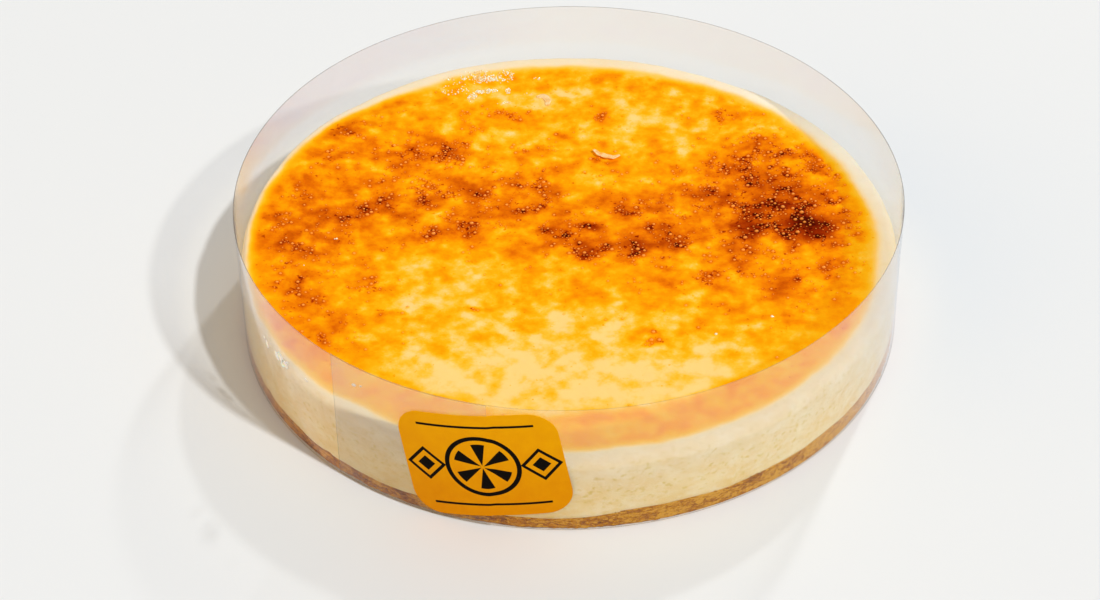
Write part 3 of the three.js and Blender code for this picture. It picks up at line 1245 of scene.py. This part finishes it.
@dataclass(frozen=True)
class BiscuitCrumb:
    """Crushed butter biscuit pressed into a layer: sandy, matt, golden with darker grains."""

    grain: float = 1.3

    def dress(self) -> bpy.types.Material:
        """Makes the material."""
        material, tree = new_material("pressed_biscuit")
        place = add_node(tree, "TexCoord").outputs["Object"]
        # The crumbs lie flat, so the grain is finer upward than along
        flat = add_node(
            tree, "Mapping", {"Vector": place, "Scale": (1.0, 1.0, 2.2)}
        ).outputs["Vector"]
        cells = add_node(
            tree, "TexVoronoi", {"Vector": flat, "Scale": 1 / (self.grain * MM), "Randomness": 1.0}
        )
        tone = add_node(
            tree, "SeparateColor", {"Color": cells.outputs["Color"]}
        ).outputs["Red"]
        cloud = add_node(
            tree, "TexNoise",
            {"Vector": flat, "Scale": 1 / (9 * MM), "Detail": 4.0, "Roughness": 0.65},
        ).outputs["Fac"]
        dust = add_node(
            tree, "TexNoise",
            {"Vector": place, "Scale": 1 / (0.5 * MM), "Detail": 3.0, "Roughness": 0.6},
        ).outputs["Fac"]
        mixed = add_node(
            tree, "Math", {0: tone, 1: 0.35, 2: cloud}, operation="MULTIPLY_ADD"
        ).outputs[0]
        dusted = add_node(
            tree, "Math", {0: dust, 1: 0.5, 2: mixed}, operation="MULTIPLY_ADD"
        ).outputs[0]
        # Painted light and shade: darker on the left, away from the key light, and lighter and more
        # golden towards the right, where it falls
        painted_light_rightward = add_node(
            tree, "MapRange",
            {
                "Value": add_node(tree, "SeparateXYZ", {"Vector": place}).outputs["X"],
                "From Min": 0.0, "From Max": 100 * MM, "To Min": -0.1, "To Max": 0.08,
            },
        ).outputs["Result"]
        level = add_node(tree, "Math", {0: dusted, 1: painted_light_rightward}, operation="ADD").outputs[0]
        colour = add_node(
            tree, "ValToRGB", {"Fac": level},
            stops=(
                (0.5, "6E3E02"), (0.66, "955600"), (0.8, "B27004"), (0.92, "C4840C"),
                (1.0, "D69C2C"),
            ),
        ).outputs["Color"]
        rough = add_node(
            tree, "MapRange", {"Value": dust, "To Min": 0.75, "To Max": 0.98}
        ).outputs["Result"]
        dusty = add_node(
            tree, "Bump", {"Strength": 0.6, "Distance": 0.3 * MM, "Height": dust}
        ).outputs["Normal"]
        crumbly = add_node(
            tree, "Bump",
            {"Strength": 0.7, "Distance": 0.5 * MM, "Height": tone, "Normal": dusty},
        ).outputs["Normal"]
        shader = add_node(
            tree, "BsdfPrincipled",
            {"Base Color": colour, "Roughness": rough, "Normal": crumbly, "IOR": 1.4},
        ).outputs[0]
        add_node(tree, "OutputMaterial", {"Surface": shader})
        return material


@dataclass
class BiscuitLayer:
    """The pressed biscuit under the custard, with a crumbling side."""

    height: float = 5.0
    radius: float = 120.2
    chamfer: float = 0.4
    wave: float = 0.7
    wave_length: float = 60.0
    shown_from: float = 80.0
    heap: float = 2.1
    heap_rise: tuple[float, float] = (-91.0, -74.0)
    heap_fall: tuple[float, float] = (-62.0, 60.0)
    steps: int = 1200
    rows: int = 9
    cap_radius: float = 96.0

    def lift(self, x: float, y: float) -> float:
        """Gives how far the layer's upper face stands over its lowest height, in millimetres."""
        shown = smoothstep(math.hypot(x, y), self.shown_from, self.radius)
        angle = math.degrees(math.atan2(y, x))
        heap = smoothstep(angle, *self.heap_rise) * (1 - smoothstep(angle, *self.heap_fall))
        return shown * (self.wave * unevenness(x, y, self.wave_length) + self.heap * heap)

    def build(self) -> None:
        """Builds the layer as a disc whose side is all crumbs."""
        mesh = bmesh.new()
        bmesh.ops.create_circle(
            mesh, cap_ends=True, segments=self.steps, radius=self.radius - self.chamfer
        )
        ring = list(mesh.edges)
        rows = [(self.radius, self.chamfer)]
        for row in range(self.rows):
            rows.append((self.radius, mix(self.chamfer, self.height, (row + 1) / self.rows)))
        rows.append((self.cap_radius, self.height - 0.2))
        for radius, height in rows:
            ring = extrude_ring(
                mesh, ring, lambda corner, r=radius, h=height: on_circle(corner, r, h)
            )
        bmesh.ops.contextual_create(mesh, geom=ring)
        for corner in mesh.verts:
            x, y, z = corner.co
            if z <= 0:
                continue
            angle = math.atan2(y, x)
            z += smoothstep(z, self.chamfer, self.height) * self.lift(x, y)
            push = out_of_round(angle) + 0.25 * unevenness(x + z, y - z, 22.0) - 0.25
            push += 0.32 * ripple(x, y, z, 1.6) + 0.2 * ripple(x, y, z + 9, 0.8)
            factor = 1 + push / self.radius
            ragged = 0.4 * ripple(x, y, 17.0, 2.5) + 0.7 * ripple(x, y, 19.0, 9.0)
            ragged *= smoothstep(z, 2.5, self.height)
            corner.co = Vector((x * factor, y * factor, z + ragged))
        bmesh.ops.recalc_face_normals(mesh, faces=mesh.faces)
        bmesh.ops.scale(mesh, vec=(MM, MM, MM), verts=mesh.verts)
        finish_piece(mesh, "biscuit_layer", Slot.BISCUIT, [BiscuitCrumb().dress()], "biscuit_base")


BISCUIT_LAYER = BiscuitLayer()


@dataclass(frozen=True)
class ClearFilm:
    """Clear acetate sheet: almost unseen face on, with a shine that grows where it turns away."""

    # What a polished plastic face throws back, straight on, and how milky it is: near the foot,
    # where the moist cake touches it, and over the cake
    head_on: tuple[float, float] = (0.012, 0.03)
    haze: tuple[float, float] = (0.002, 0.05)
    # The milkier left is a painted reflection of bright surroundings
    painted_reflection: float = 0.05  # how much milkier it is at the left, high on the film
    tint: tuple[str, str] = ("FDFDFC", "F8F9FB")
    # The cut edge's dark line is painted shade, shown more at the back than at the front
    edge_cover: tuple[float, float] = (0.3, 0.75)  # how much the cut edge hides, front and back
    roughness: float = 0.04

    def dress(self) -> bpy.types.Material:
        """Makes the film's face."""
        material, tree = new_material("acetate_film")
        place = add_node(tree, "TexCoord").outputs["Object"]
        smear = add_node(
            tree, "TexNoise",
            {"Vector": place, "Scale": 1 / (25 * MM), "Detail": 4.0, "Roughness": 0.6},
        ).outputs["Fac"]
        turned = add_node(tree, "LayerWeight", {"Blend": 0.5}).outputs["Facing"]
        grazing = add_node(tree, "Math", {0: turned, 1: 5.0}, operation="POWER").outputs[0]
        height = add_node(tree, "SeparateXYZ", {"Vector": place}).outputs["Z"]
        least, milky, above = (
            add_node(
                tree, "MapRange",
                {
                    "Value": height, "From Min": start * MM, "From Max": end * MM,
                    "To Min": low, "To Max": high,
                },
                interpolation_type="SMOOTHSTEP",
            ).outputs["Result"]
            for start, end, (low, high) in (
                (12, 30, self.head_on), (12, 30, self.haze), (30, 42, (0.0, 1.0))
            )
        )
        # Painted reflection: milkier high on the film at the left, as if it threw back bright
        # surroundings there
        leftward = add_node(
            tree, "VectorMath", {0: place, 1: (-0.97, 0.26, 0.0)}, operation="DOT_PRODUCT"
        ).outputs["Value"]
        left = add_node(
            tree, "MapRange",
            {"Value": leftward, "From Min": 30 * MM, "From Max": 85 * MM},
            interpolation_type="SMOOTHSTEP",
        ).outputs["Result"]
        painted_reflection_share = add_node(tree, "Math", {0: above, 1: left}, operation="MULTIPLY").outputs[0]
        milky = add_node(
            tree, "Math", {0: painted_reflection_share, 1: self.painted_reflection, 2: milky}, operation="MULTIPLY_ADD"
        ).outputs[0]
        shine = add_node(
            tree, "MapRange", {"Value": grazing, "To Min": least, "To Max": 0.9}
        ).outputs["Result"]
        rough = add_node(
            tree, "MapRange",
            {"Value": smear, "To Min": self.roughness, "To Max": 2.5 * self.roughness},
        ).outputs["Result"]
        uneven = add_node(
            tree, "MapRange", {"Value": smear, "From Min": 0.3, "From Max": 0.7, "To Min": 0.6}
        ).outputs["Result"]
        dust = add_node(tree, "Math", {0: milky, 1: uneven}, operation="MULTIPLY").outputs[0]
        low_tint, high_tint = (linear(colour) for colour in self.tint)
        tint = add_node(
            tree, "Mix", {0: painted_reflection_share, 6: low_tint, 7: high_tint}, data_type="RGBA"
        ).outputs[2]
        clear = add_node(tree, "BsdfTransparent", {"Color": tint}).outputs[0]
        milk = add_node(tree, "BsdfDiffuse", {"Color": linear("F6F0F2")}).outputs[0]
        dulled = add_node(
            tree, "MixShader",
            {0: dust, 1: clear, 2: milk},
        ).outputs[0]
        gloss_and_highlight = add_node(
            tree, "BsdfPrincipled",
            {"Base Color": linear("EAF0FF"), "Metallic": 1.0, "Roughness": rough},
        ).outputs[0]
        shader = add_node(tree, "MixShader", {0: shine, 1: dulled, 2: gloss_and_highlight}).outputs[0]
        add_node(tree, "OutputMaterial", {"Surface": shader})
        return material

    def dress_edge(self) -> bpy.types.Material:
        """Makes the cut edge as a thin line, half seen through, painted dark brown-grey as painted shade
        for how the clear edge bends light.
        """
        material, tree = new_material("acetate_cut_edge")
        place = add_node(tree, "TexCoord").outputs["Object"]
        nick = add_node(
            tree, "TexNoise", {"Vector": place, "Scale": 1 / (12 * MM), "Detail": 2.0}
        ).outputs["Fac"]
        colour = add_node(
            tree, "ValToRGB", {"Fac": nick}, stops=((0.35, "4A3E32"), (0.65, "7C6E60"))
        ).outputs["Color"]
        rough = add_node(tree, "MapRange", {"Value": nick, "To Min": 0.2, "To Max": 0.4}).outputs[0]
        # Painted shade: the dark brown-grey that the clear cut edge is given
        painted_edge_shade = add_node(
            tree, "BsdfPrincipled", {"Base Color": colour, "Roughness": rough}
        ).outputs[0]
        clear = add_node(tree, "BsdfTransparent", {"Color": linear("FDFDFC")}).outputs[0]
        cover = add_node(
            tree, "MapRange",
            {
                "Value": add_node(tree, "SeparateXYZ", {"Vector": place}).outputs["Y"],
                "From Min": -85 * MM, "From Max": 20 * MM,
                "To Min": self.edge_cover[0], "To Max": self.edge_cover[1],
            },
        ).outputs["Result"]
        shader = add_node(tree, "MixShader", {0: cover, 1: clear, 2: painted_edge_shade}).outputs[0]
        add_node(tree, "OutputMaterial", {"Surface": shader})
        return material


@dataclass
class Collar:
    """One strip of clear film round the cake, its outer end lapped over the inner one."""

    bottom: float = 0.5
    height: float = 52.4
    thickness: float = 0.25
    rim_radius: float = 119.7
    flare: float = 0.9
    lap_gap: float = 0.06
    inner_end: float = -131.3
    outer_end: float = -103.5
    step_out: float = 14.0
    wobble: float = 0.12
    degrees_per_step: float = 1.5
    rows: int = 12

    def radius_at(self, angle: float, z: float) -> float:
        """Gives the inside radius of the film's inner layer.

        Args:
            angle: direction in degrees
            z: height over the floor in millimetres

        Returns:
            the radius in millimetres
        """
        from_rim = 1 - (z - self.bottom) / self.height
        turn = math.radians(angle)
        waver = self.wobble * math.sin(5 * turn + 0.05 * z) * smoothstep(z, 20.0, self.height)
        return self.rim_radius + self.flare * from_rim + out_of_round(turn) + waver

    def place(self, angle: float, z: float, outward: float) -> Vector:
        """Gives a place by direction, height and distance outside the film's inner face.

        Args:
            angle: direction in degrees
            z: height over the floor in millimetres
            outward: distance in millimetres

        Returns:
            the place in millimetres
        """
        radius = self.radius_at(angle, z) + outward
        turn = math.radians(angle)
        return Vector((radius * math.cos(turn), radius * math.sin(turn), z))

    def build(self) -> None:
        """Builds the strip flat, winds it round the cake and gives it its thickness."""
        length = 360 + self.outer_end - self.inner_end
        steps = round(length / self.degrees_per_step)
        mesh = bmesh.new()
        bmesh.ops.create_grid(mesh, x_segments=steps, y_segments=self.rows, size=0.5)
        for corner in mesh.verts:
            turn = (corner.co.x + 0.5) * length
            lift = (self.thickness + self.lap_gap) * smoothstep(turn, 360 - self.step_out, 360.0)
            z = self.bottom + (corner.co.y + 0.5) * self.height
            corner.co = self.place(self.inner_end + turn, z, lift)
        for face in mesh.faces:
            face.normal_update()
        outward_faces = sum(
            1 if face.normal.dot(face.calc_center_median()) > 0 else -1 for face in mesh.faces
        )
        if outward_faces < 0:
            bmesh.ops.reverse_faces(mesh, faces=mesh.faces)
        bmesh.ops.solidify(mesh, geom=mesh.faces, thickness=-self.thickness)
        bmesh.ops.recalc_face_normals(mesh, faces=mesh.faces)
        for face in mesh.faces:
            middle = face.calc_center_median()
            across = Vector((middle.x, middle.y, 0)).normalized()
            face.material_index = 0 if abs(face.normal.dot(across)) > 0.6 else 1
        for edge in mesh.edges:
            edge.smooth = edge.calc_face_angle(0.0) < math.radians(40)
        bmesh.ops.scale(mesh, vec=(MM, MM, MM), verts=mesh.verts)
        film = ClearFilm()
        finish_piece(
            mesh, "clear_collar", Slot.FILM, [film.dress(), film.dress_edge()], "acetate_collar"
        )


@dataclass
class FilmDrops:
    """Drops of cream on the film's outer face, level with the cake's top, at the front left."""

    # Direction in degrees, height, length along the film, breadth, and turn in degrees
    drops: tuple[tuple[float, float, float, float, float], ...] = (
        (-146.8, 31.6, 2.0, 1.2, -50),
        (-145.4, 32.8, 2.3, 1.4, -40),
        (-144.0, 31.8, 1.8, 1.2, -30),
        (-145.0, 30.2, 1.3, 1.0, 0),
        (-143.2, 33.6, 0.7, 0.6, 0),
        (-150.4, 31.4, 1.6, 0.8, -60),
        (-151.6, 32.6, 0.8, 0.6, 0),
        (-138.0, 33.2, 0.9, 0.5, -20),
        (-126.6, 44.7, 1.0, 0.6, 20),
        (-125.2, 45.6, 0.5, 0.35, 0),
    )
    depth: float = 0.4
    film_clearance: float = 0.02
    segments: int = 14
    rows: tuple[tuple[float, float], ...] = ((0.45, 0.9), (0.75, 0.66), (0.93, 0.36), (1.0, 0.0))

    def build(self, collar: Collar) -> None:
        """Builds the drops as low domes.

        Args:
            collar: the film that they hang on
        """
        mesh = bmesh.new()
        for direction, height, long, wide, turn in self.drops:
            before = set(mesh.verts)
            radius, rise = self.rows[0]
            made = bmesh.ops.create_circle(
                mesh, cap_ends=True, cap_tris=True, segments=self.segments, radius=radius
            )["verts"]
            for corner in made:
                corner.co.z = 1.0 if corner.co.length < 0.1 else rise
            fresh = set(made)
            ring = [edge for edge in mesh.edges if edge.is_boundary and edge.verts[0] in fresh]
            for radius, rise in self.rows[1:]:
                ring = extrude_ring(
                    mesh, ring, lambda corner, r=radius, h=rise: on_circle(corner, r, h)
                )
            bmesh.ops.contextual_create(mesh, geom=ring)
            spin = Matrix.Rotation(math.radians(turn), 2)
            for corner in set(mesh.verts) - before:
                across, up = spin @ Vector((corner.co.x * long, corner.co.y * wide))
                angle = direction + math.degrees(across / collar.rim_radius)
                outward = self.film_clearance + self.depth * min(long, wide) * corner.co.z
                corner.co = collar.place(angle, height + up, collar.thickness + outward)
        bmesh.ops.recalc_face_normals(mesh, faces=mesh.faces)
        bmesh.ops.scale(mesh, vec=(MM, MM, MM), verts=mesh.verts)
        cream = MeltedSugar("cream_drops", "FFFAEE", "FFF0D6", shine=0.6, glow=1.0, glow_reach=2.5)
        finish_piece(mesh, "film_drops", Slot.CUSTARD, [cream.dress()])


@dataclass(frozen=True)
class PrintedPaper:
    """Coated sticker paper printed amber, with a near-black motif of a sliced wheel and diamonds."""

    wheel: float = 12.0
    line: float = 1.6
    wedge_reach: float = 9.6
    diamond_off: float = 19.6
    diamond: float = 6.2
    rule_off: float = 16.6
    rule_half: float = 20.0

    def dress(self) -> bpy.types.Material:
        """Makes the material, which reads the sticker's own place in millimetres."""
        material, tree = new_material("printed_sticker_paper")
        flat = add_node(tree, "Attribute", attribute_name="flat_place").outputs["Vector"]
        place = add_node(tree, "TexCoord").outputs["Object"]
        axes = add_node(tree, "SeparateXYZ", {"Vector": flat}).outputs
        ink = self.motif(tree, axes["X"], axes["Y"])
        fibre = add_node(
            tree, "TexNoise",
            {"Vector": place, "Scale": 1 / (5 * MM), "Detail": 5.0, "Roughness": 0.6},
        ).outputs["Fac"]
        # The amber is a little lighter towards the top
        up = add_node(
            tree, "MapRange",
            {"Value": axes["Y"], "From Min": -20.0, "From Max": 20.0, "To Min": -0.15, "To Max": 0.2},
        ).outputs["Result"]
        tone = add_node(tree, "Math", {0: fibre, 1: 0.35, 2: up}, operation="MULTIPLY_ADD").outputs[0]
        amber = add_node(
            tree, "ValToRGB", {"Fac": tone}, stops=((0.0, "D88800"), (0.42, "E8A400"))
        ).outputs["Color"]
        colour = add_node(
            tree, "Mix", {0: ink, 6: amber, 7: linear("0E0A06")}, data_type="RGBA"
        ).outputs[2]
        rough = add_node(
            tree, "MapRange", {"Value": fibre, "To Min": 0.35, "To Max": 0.55}
        ).outputs["Result"]
        bump = add_node(
            tree, "Bump", {"Strength": 0.15, "Distance": 0.08 * MM, "Height": fibre}
        ).outputs["Normal"]
        shader = add_node(
            tree, "BsdfPrincipled",
            {
                "Base Color": colour, "Roughness": rough, "Normal": bump, "IOR": 1.45,
                "Specular IOR Level": 0.03,
            },
        ).outputs[0]
        add_node(tree, "OutputMaterial", {"Surface": shader})
        return material

    def dress_back(self) -> bpy.types.Material:
        """Makes the gummed back, plain pale paper that shows through the film from inside."""
        material, tree = new_material("sticker_paper_back")
        place = add_node(tree, "TexCoord").outputs["Object"]
        fibre = add_node(
            tree, "TexNoise",
            {"Vector": place, "Scale": 1 / (5 * MM), "Detail": 5.0, "Roughness": 0.6},
        ).outputs["Fac"]
        colour = add_node(
            tree, "ValToRGB", {"Fac": fibre}, stops=((0.3, "E8DCC0"), (0.7, "F2E9D4"))
        ).outputs["Color"]
        rough = add_node(
            tree, "MapRange", {"Value": fibre, "To Min": 0.5, "To Max": 0.7}
        ).outputs["Result"]
        shader = add_node(
            tree, "BsdfPrincipled", {"Base Color": colour, "Roughness": rough}
        ).outputs[0]
        add_node(tree, "OutputMaterial", {"Surface": shader})
        return material

    def motif(
        self, tree: bpy.types.NodeTree, x: bpy.types.NodeSocket, y: bpy.types.NodeSocket
    ) -> bpy.types.NodeSocket:
        """Draws the motif in the sticker's own millimetres.

        Args:
            tree: the node tree
            x: place across the sticker
            y: place up the sticker

        Returns:
            1 where there is ink
        """

        def math_node(operation: str, *values: Any, clamp: bool = False) -> bpy.types.NodeSocket:
            """Adds one sum to the tree and gives its result."""
            return add_node(
                tree, "Math", dict(enumerate(values)), operation=operation, use_clamp=clamp
            ).outputs[0]

        def inside(distance: bpy.types.NodeSocket, reach: float) -> bpy.types.NodeSocket:
            """Gives 1 where a distance is within reach, with an edge soft by a tenth of a millimetre."""
            return add_node(
                tree, "MapRange",
                {
                    "Value": distance, "From Min": reach - 0.06, "From Max": reach + 0.06,
                    "To Min": 1.0, "To Max": 0.0,
                },
            ).outputs["Result"]

        half = self.line / 2
        radius = math_node("SQRT", math_node("MULTIPLY_ADD", x, x, math_node("MULTIPLY", y, y)))
        rim = inside(math_node("ABSOLUTE", math_node("SUBTRACT", radius, self.wheel)), half)
        angle = math_node("ARCTAN2", y, x)
        # Off the middle line of each second wedge, in millimetres, less the wedge's half width
        wedge_off = math_node(
            "MULTIPLY",
            math_node("COSINE", math_node("MULTIPLY", angle, 6.0)),
            math_node("DIVIDE", radius, 6.0),
        )
        wedges = math_node("MULTIPLY", inside(wedge_off, -0.1), inside(radius, self.wedge_reach))
        side_x = math_node("SUBTRACT", math_node("ABSOLUTE", x), self.diamond_off)
        to_diamond = math_node("ADD", math_node("ABSOLUTE", side_x), math_node("ABSOLUTE", y))
        outline = inside(
            math_node("ABSOLUTE", math_node("SUBTRACT", to_diamond, self.diamond)), half
        )
        stone = inside(to_diamond, 0.5 * self.diamond)
        rule_y = math_node("SUBTRACT", math_node("ABSOLUTE", y), self.rule_off)
        rule = math_node(
            "MULTIPLY",
            inside(math_node("ABSOLUTE", rule_y), 0.6 * half),
            inside(math_node("ABSOLUTE", x), self.rule_half),
        )
        ink = rim
        for shape in (wedges, outline, stone, rule):
            ink = math_node("MAXIMUM", ink, shape)
        return ink


@dataclass
class Sticker:
    """A rounded rectangle of coated paper over the outer end of the film."""

    width: float = 54.6
    height: float = 43.0
    corner: float = 9.5
    thickness: float = 0.18
    direction: float = -104.3
    centre_height: float = 26.5
    turn: float = 10.0
    air: float = 0.04
    steps_across: int = 70
    steps_up: int = 54

    def round_corner(self, x: float, y: float) -> tuple[float, float]:
        """Draws a rectangle's corner patch in to a quarter circle.

        Args:
            x: place across in millimetres
            y: place up in millimetres

        Returns:
            the place in the rounded rectangle
        """
        half_width, half_height = self.width / 2 - self.corner, self.height / 2 - self.corner
        across, up = abs(x) - half_width, abs(y) - half_height
        if across <= 0 or up <= 0:
            return x, y
        shrink = max(across, up) / math.hypot(across, up)
        return (
            math.copysign(half_width + across * shrink, x),
            math.copysign(half_height + up * shrink, y),
        )

    def build(self, collar: Collar) -> None:
        """Builds the sticker flat, and lays it over the film and the step at its end.

        Args:
            collar: the film that it sticks to
        """
        mesh = bmesh.new()
        bmesh.ops.create_grid(
            mesh, x_segments=self.steps_across, y_segments=self.steps_up, size=0.5
        )
        flat = mesh.verts.layers.float_vector.new("flat_place")
        turn = Matrix.Rotation(math.radians(self.turn), 2)
        lap = collar.thickness + collar.lap_gap
        for corner in mesh.verts:
            x, y = self.round_corner(corner.co.x * self.width, corner.co.y * self.height)
            corner[flat] = Vector((x, y, 0))
            across, up = turn @ Vector((x, y))
            angle = self.direction + math.degrees(across / collar.rim_radius)
            past_end = smoothstep(angle, collar.outer_end - 0.1, collar.outer_end + 1.2)
            outward = collar.thickness + lap * (1 - past_end) + self.air
            corner.co = collar.place(angle, self.centre_height + up, outward)
        for face in mesh.faces:
            face.normal_update()
        outward_faces = sum(
            1 if face.normal.dot(face.calc_center_median()) > 0 else -1 for face in mesh.faces
        )
        if outward_faces < 0:
            bmesh.ops.reverse_faces(mesh, faces=mesh.faces)
        bmesh.ops.solidify(mesh, geom=mesh.faces, thickness=-self.thickness)
        bmesh.ops.recalc_face_normals(mesh, faces=mesh.faces)
        for face in mesh.faces:
            middle = face.calc_center_median()
            across = Vector((middle.x, middle.y, 0)).normalized()
            face.material_index = 1 if face.normal.dot(across) < -0.6 else 0
        for edge in mesh.edges:
            edge.smooth = edge.calc_face_angle(0.0) < math.radians(40)
        bmesh.ops.scale(mesh, vec=(MM, MM, MM), verts=mesh.verts)
        paper = PrintedPaper()
        finish_piece(
            mesh, "collar_sticker", Slot.LABEL, [paper.dress(), paper.dress_back()],
            "collar_label",
        )


@dataclass
class Studio:
    """A pale floor, one firm key light from the front right, soft white surroundings, a camera."""

    focal_length: float = 73.34
    sensor: float = 36.0
    elevation: float = 39.31
    roll: float = -1.17
    offset: tuple[float, float, float] = (6.98, 0.31, 836.65)
    sun_azimuth: float = -38.0
    sun_elevation: float = 46.0
    sun_strength: float = 2.22
    sun_angle: float = 3.0
    fill_azimuth: float = -160.0
    fill_elevation: float = 15.0
    fill_strength: float = 1.45
    fill_angle: float = 60.0
    window_azimuth: float = 66.0
    window_elevation: float = 30.0
    window_strength: float = 0.8
    window_angle: float = 3.0
    world_strength: float = 0.38

    def place_camera(self) -> None:
        """Sets the camera where the photograph was taken from."""
        rise, roll = math.radians(self.elevation), math.radians(self.roll)
        forward = Vector((0, math.cos(rise), -math.sin(rise)))
        level = Vector((1, 0, 0))
        upright = Vector((0, math.sin(rise), math.cos(rise)))
        right = math.cos(roll) * level + math.sin(roll) * upright
        up = math.cos(roll) * upright - math.sin(roll) * level
        across, along, away = self.offset
        eye = -(right * across + up * along + forward * away) * MM
        camera = bpy.data.objects.new("camera", bpy.data.cameras.new("camera"))
        camera.data.lens = self.focal_length
        camera.data.sensor_width = self.sensor
        camera.matrix_world = Matrix(
            (
                (right.x, up.x, -forward.x, eye.x),
                (right.y, up.y, -forward.y, eye.y),
                (right.z, up.z, -forward.z, eye.z),
                (0, 0, 0, 1),
            )
        )
        bpy.context.scene.collection.objects.link(camera)
        bpy.context.scene.camera = camera

    def place_lights(self) -> None:
        """Adds the key light, a warm fill, a weak light from behind and even surroundings."""
        for name, colour, strength, angle, azimuth, elevation in (
            (
                "key", "FFFFFF", self.sun_strength, self.sun_angle,
                self.sun_azimuth, self.sun_elevation,
            ),
            (
                "fill", "FFD070", self.fill_strength, self.fill_angle,
                self.fill_azimuth, self.fill_elevation,
            ),
            (
                "window", "FFFFFF", self.window_strength, self.window_angle,
                self.window_azimuth, self.window_elevation,
            ),
        ):
            light = bpy.data.lights.new(name, "SUN")
            light.energy = strength
            light.angle = math.radians(angle)
            light.color = linear(colour)[:3]
            lamp = bpy.data.objects.new(name, light)
            lamp.visible_glossy = name != "fill"
            rise, turn = math.radians(elevation), math.radians(azimuth)
            towards = Vector(
                (math.cos(rise) * math.cos(turn), math.cos(rise) * math.sin(turn), math.sin(rise))
            )
            lamp.rotation_euler = towards.to_track_quat("Z", "Y").to_euler()
            bpy.context.scene.collection.objects.link(lamp)
        world = bpy.data.worlds.new("studio")
        world.use_nodes = True
        background = world.node_tree.nodes["Background"]
        background.inputs["Color"].default_value = linear("F4F6FA")
        background.inputs["Strength"].default_value = self.world_strength
        bpy.context.scene.world = world
        bpy.context.scene.view_settings.view_transform = "Standard"

    def lay_floor(self) -> None:
        """Lays the pale floor that the cake stands on."""
        mesh = bmesh.new()
        bmesh.ops.create_grid(mesh, x_segments=1, y_segments=1, size=3.0)
        data = bpy.data.meshes.new("floor")
        mesh.to_mesh(data)
        mesh.free()
        material, tree = new_material("pale_floor")
        shader = add_node(
            tree, "BsdfPrincipled", {"Base Color": linear("E6EAED"), "Roughness": 0.7}
        ).outputs[0]
        add_node(tree, "OutputMaterial", {"Surface": shader})
        data.materials.append(material)
        floor = bpy.data.objects.new("floor", data)
        bpy.context.scene.collection.objects.link(floor)

    def build(self) -> None:
        """Sets up floor, lights and camera."""
        self.lay_floor()
        self.place_lights()
        self.place_camera()


def main() -> None:
    """Builds the cake from the bottom up, then the studio round it."""
    logging.basicConfig(level=logging.INFO, format="%(name)s: %(message)s")
    BISCUIT_LAYER.build()
    custard = Custard()
    custard.build()
    for kind in BLISTER_KINDS:
        kind.build(custard)
    SugarBeads().build(custard)
    SkinFlakes().build(custard)
    collar = Collar()
    collar.build()
    FilmDrops().build(collar)
    Sticker().build(collar)
    Studio().build()


if __name__ == "__main__":
    main()
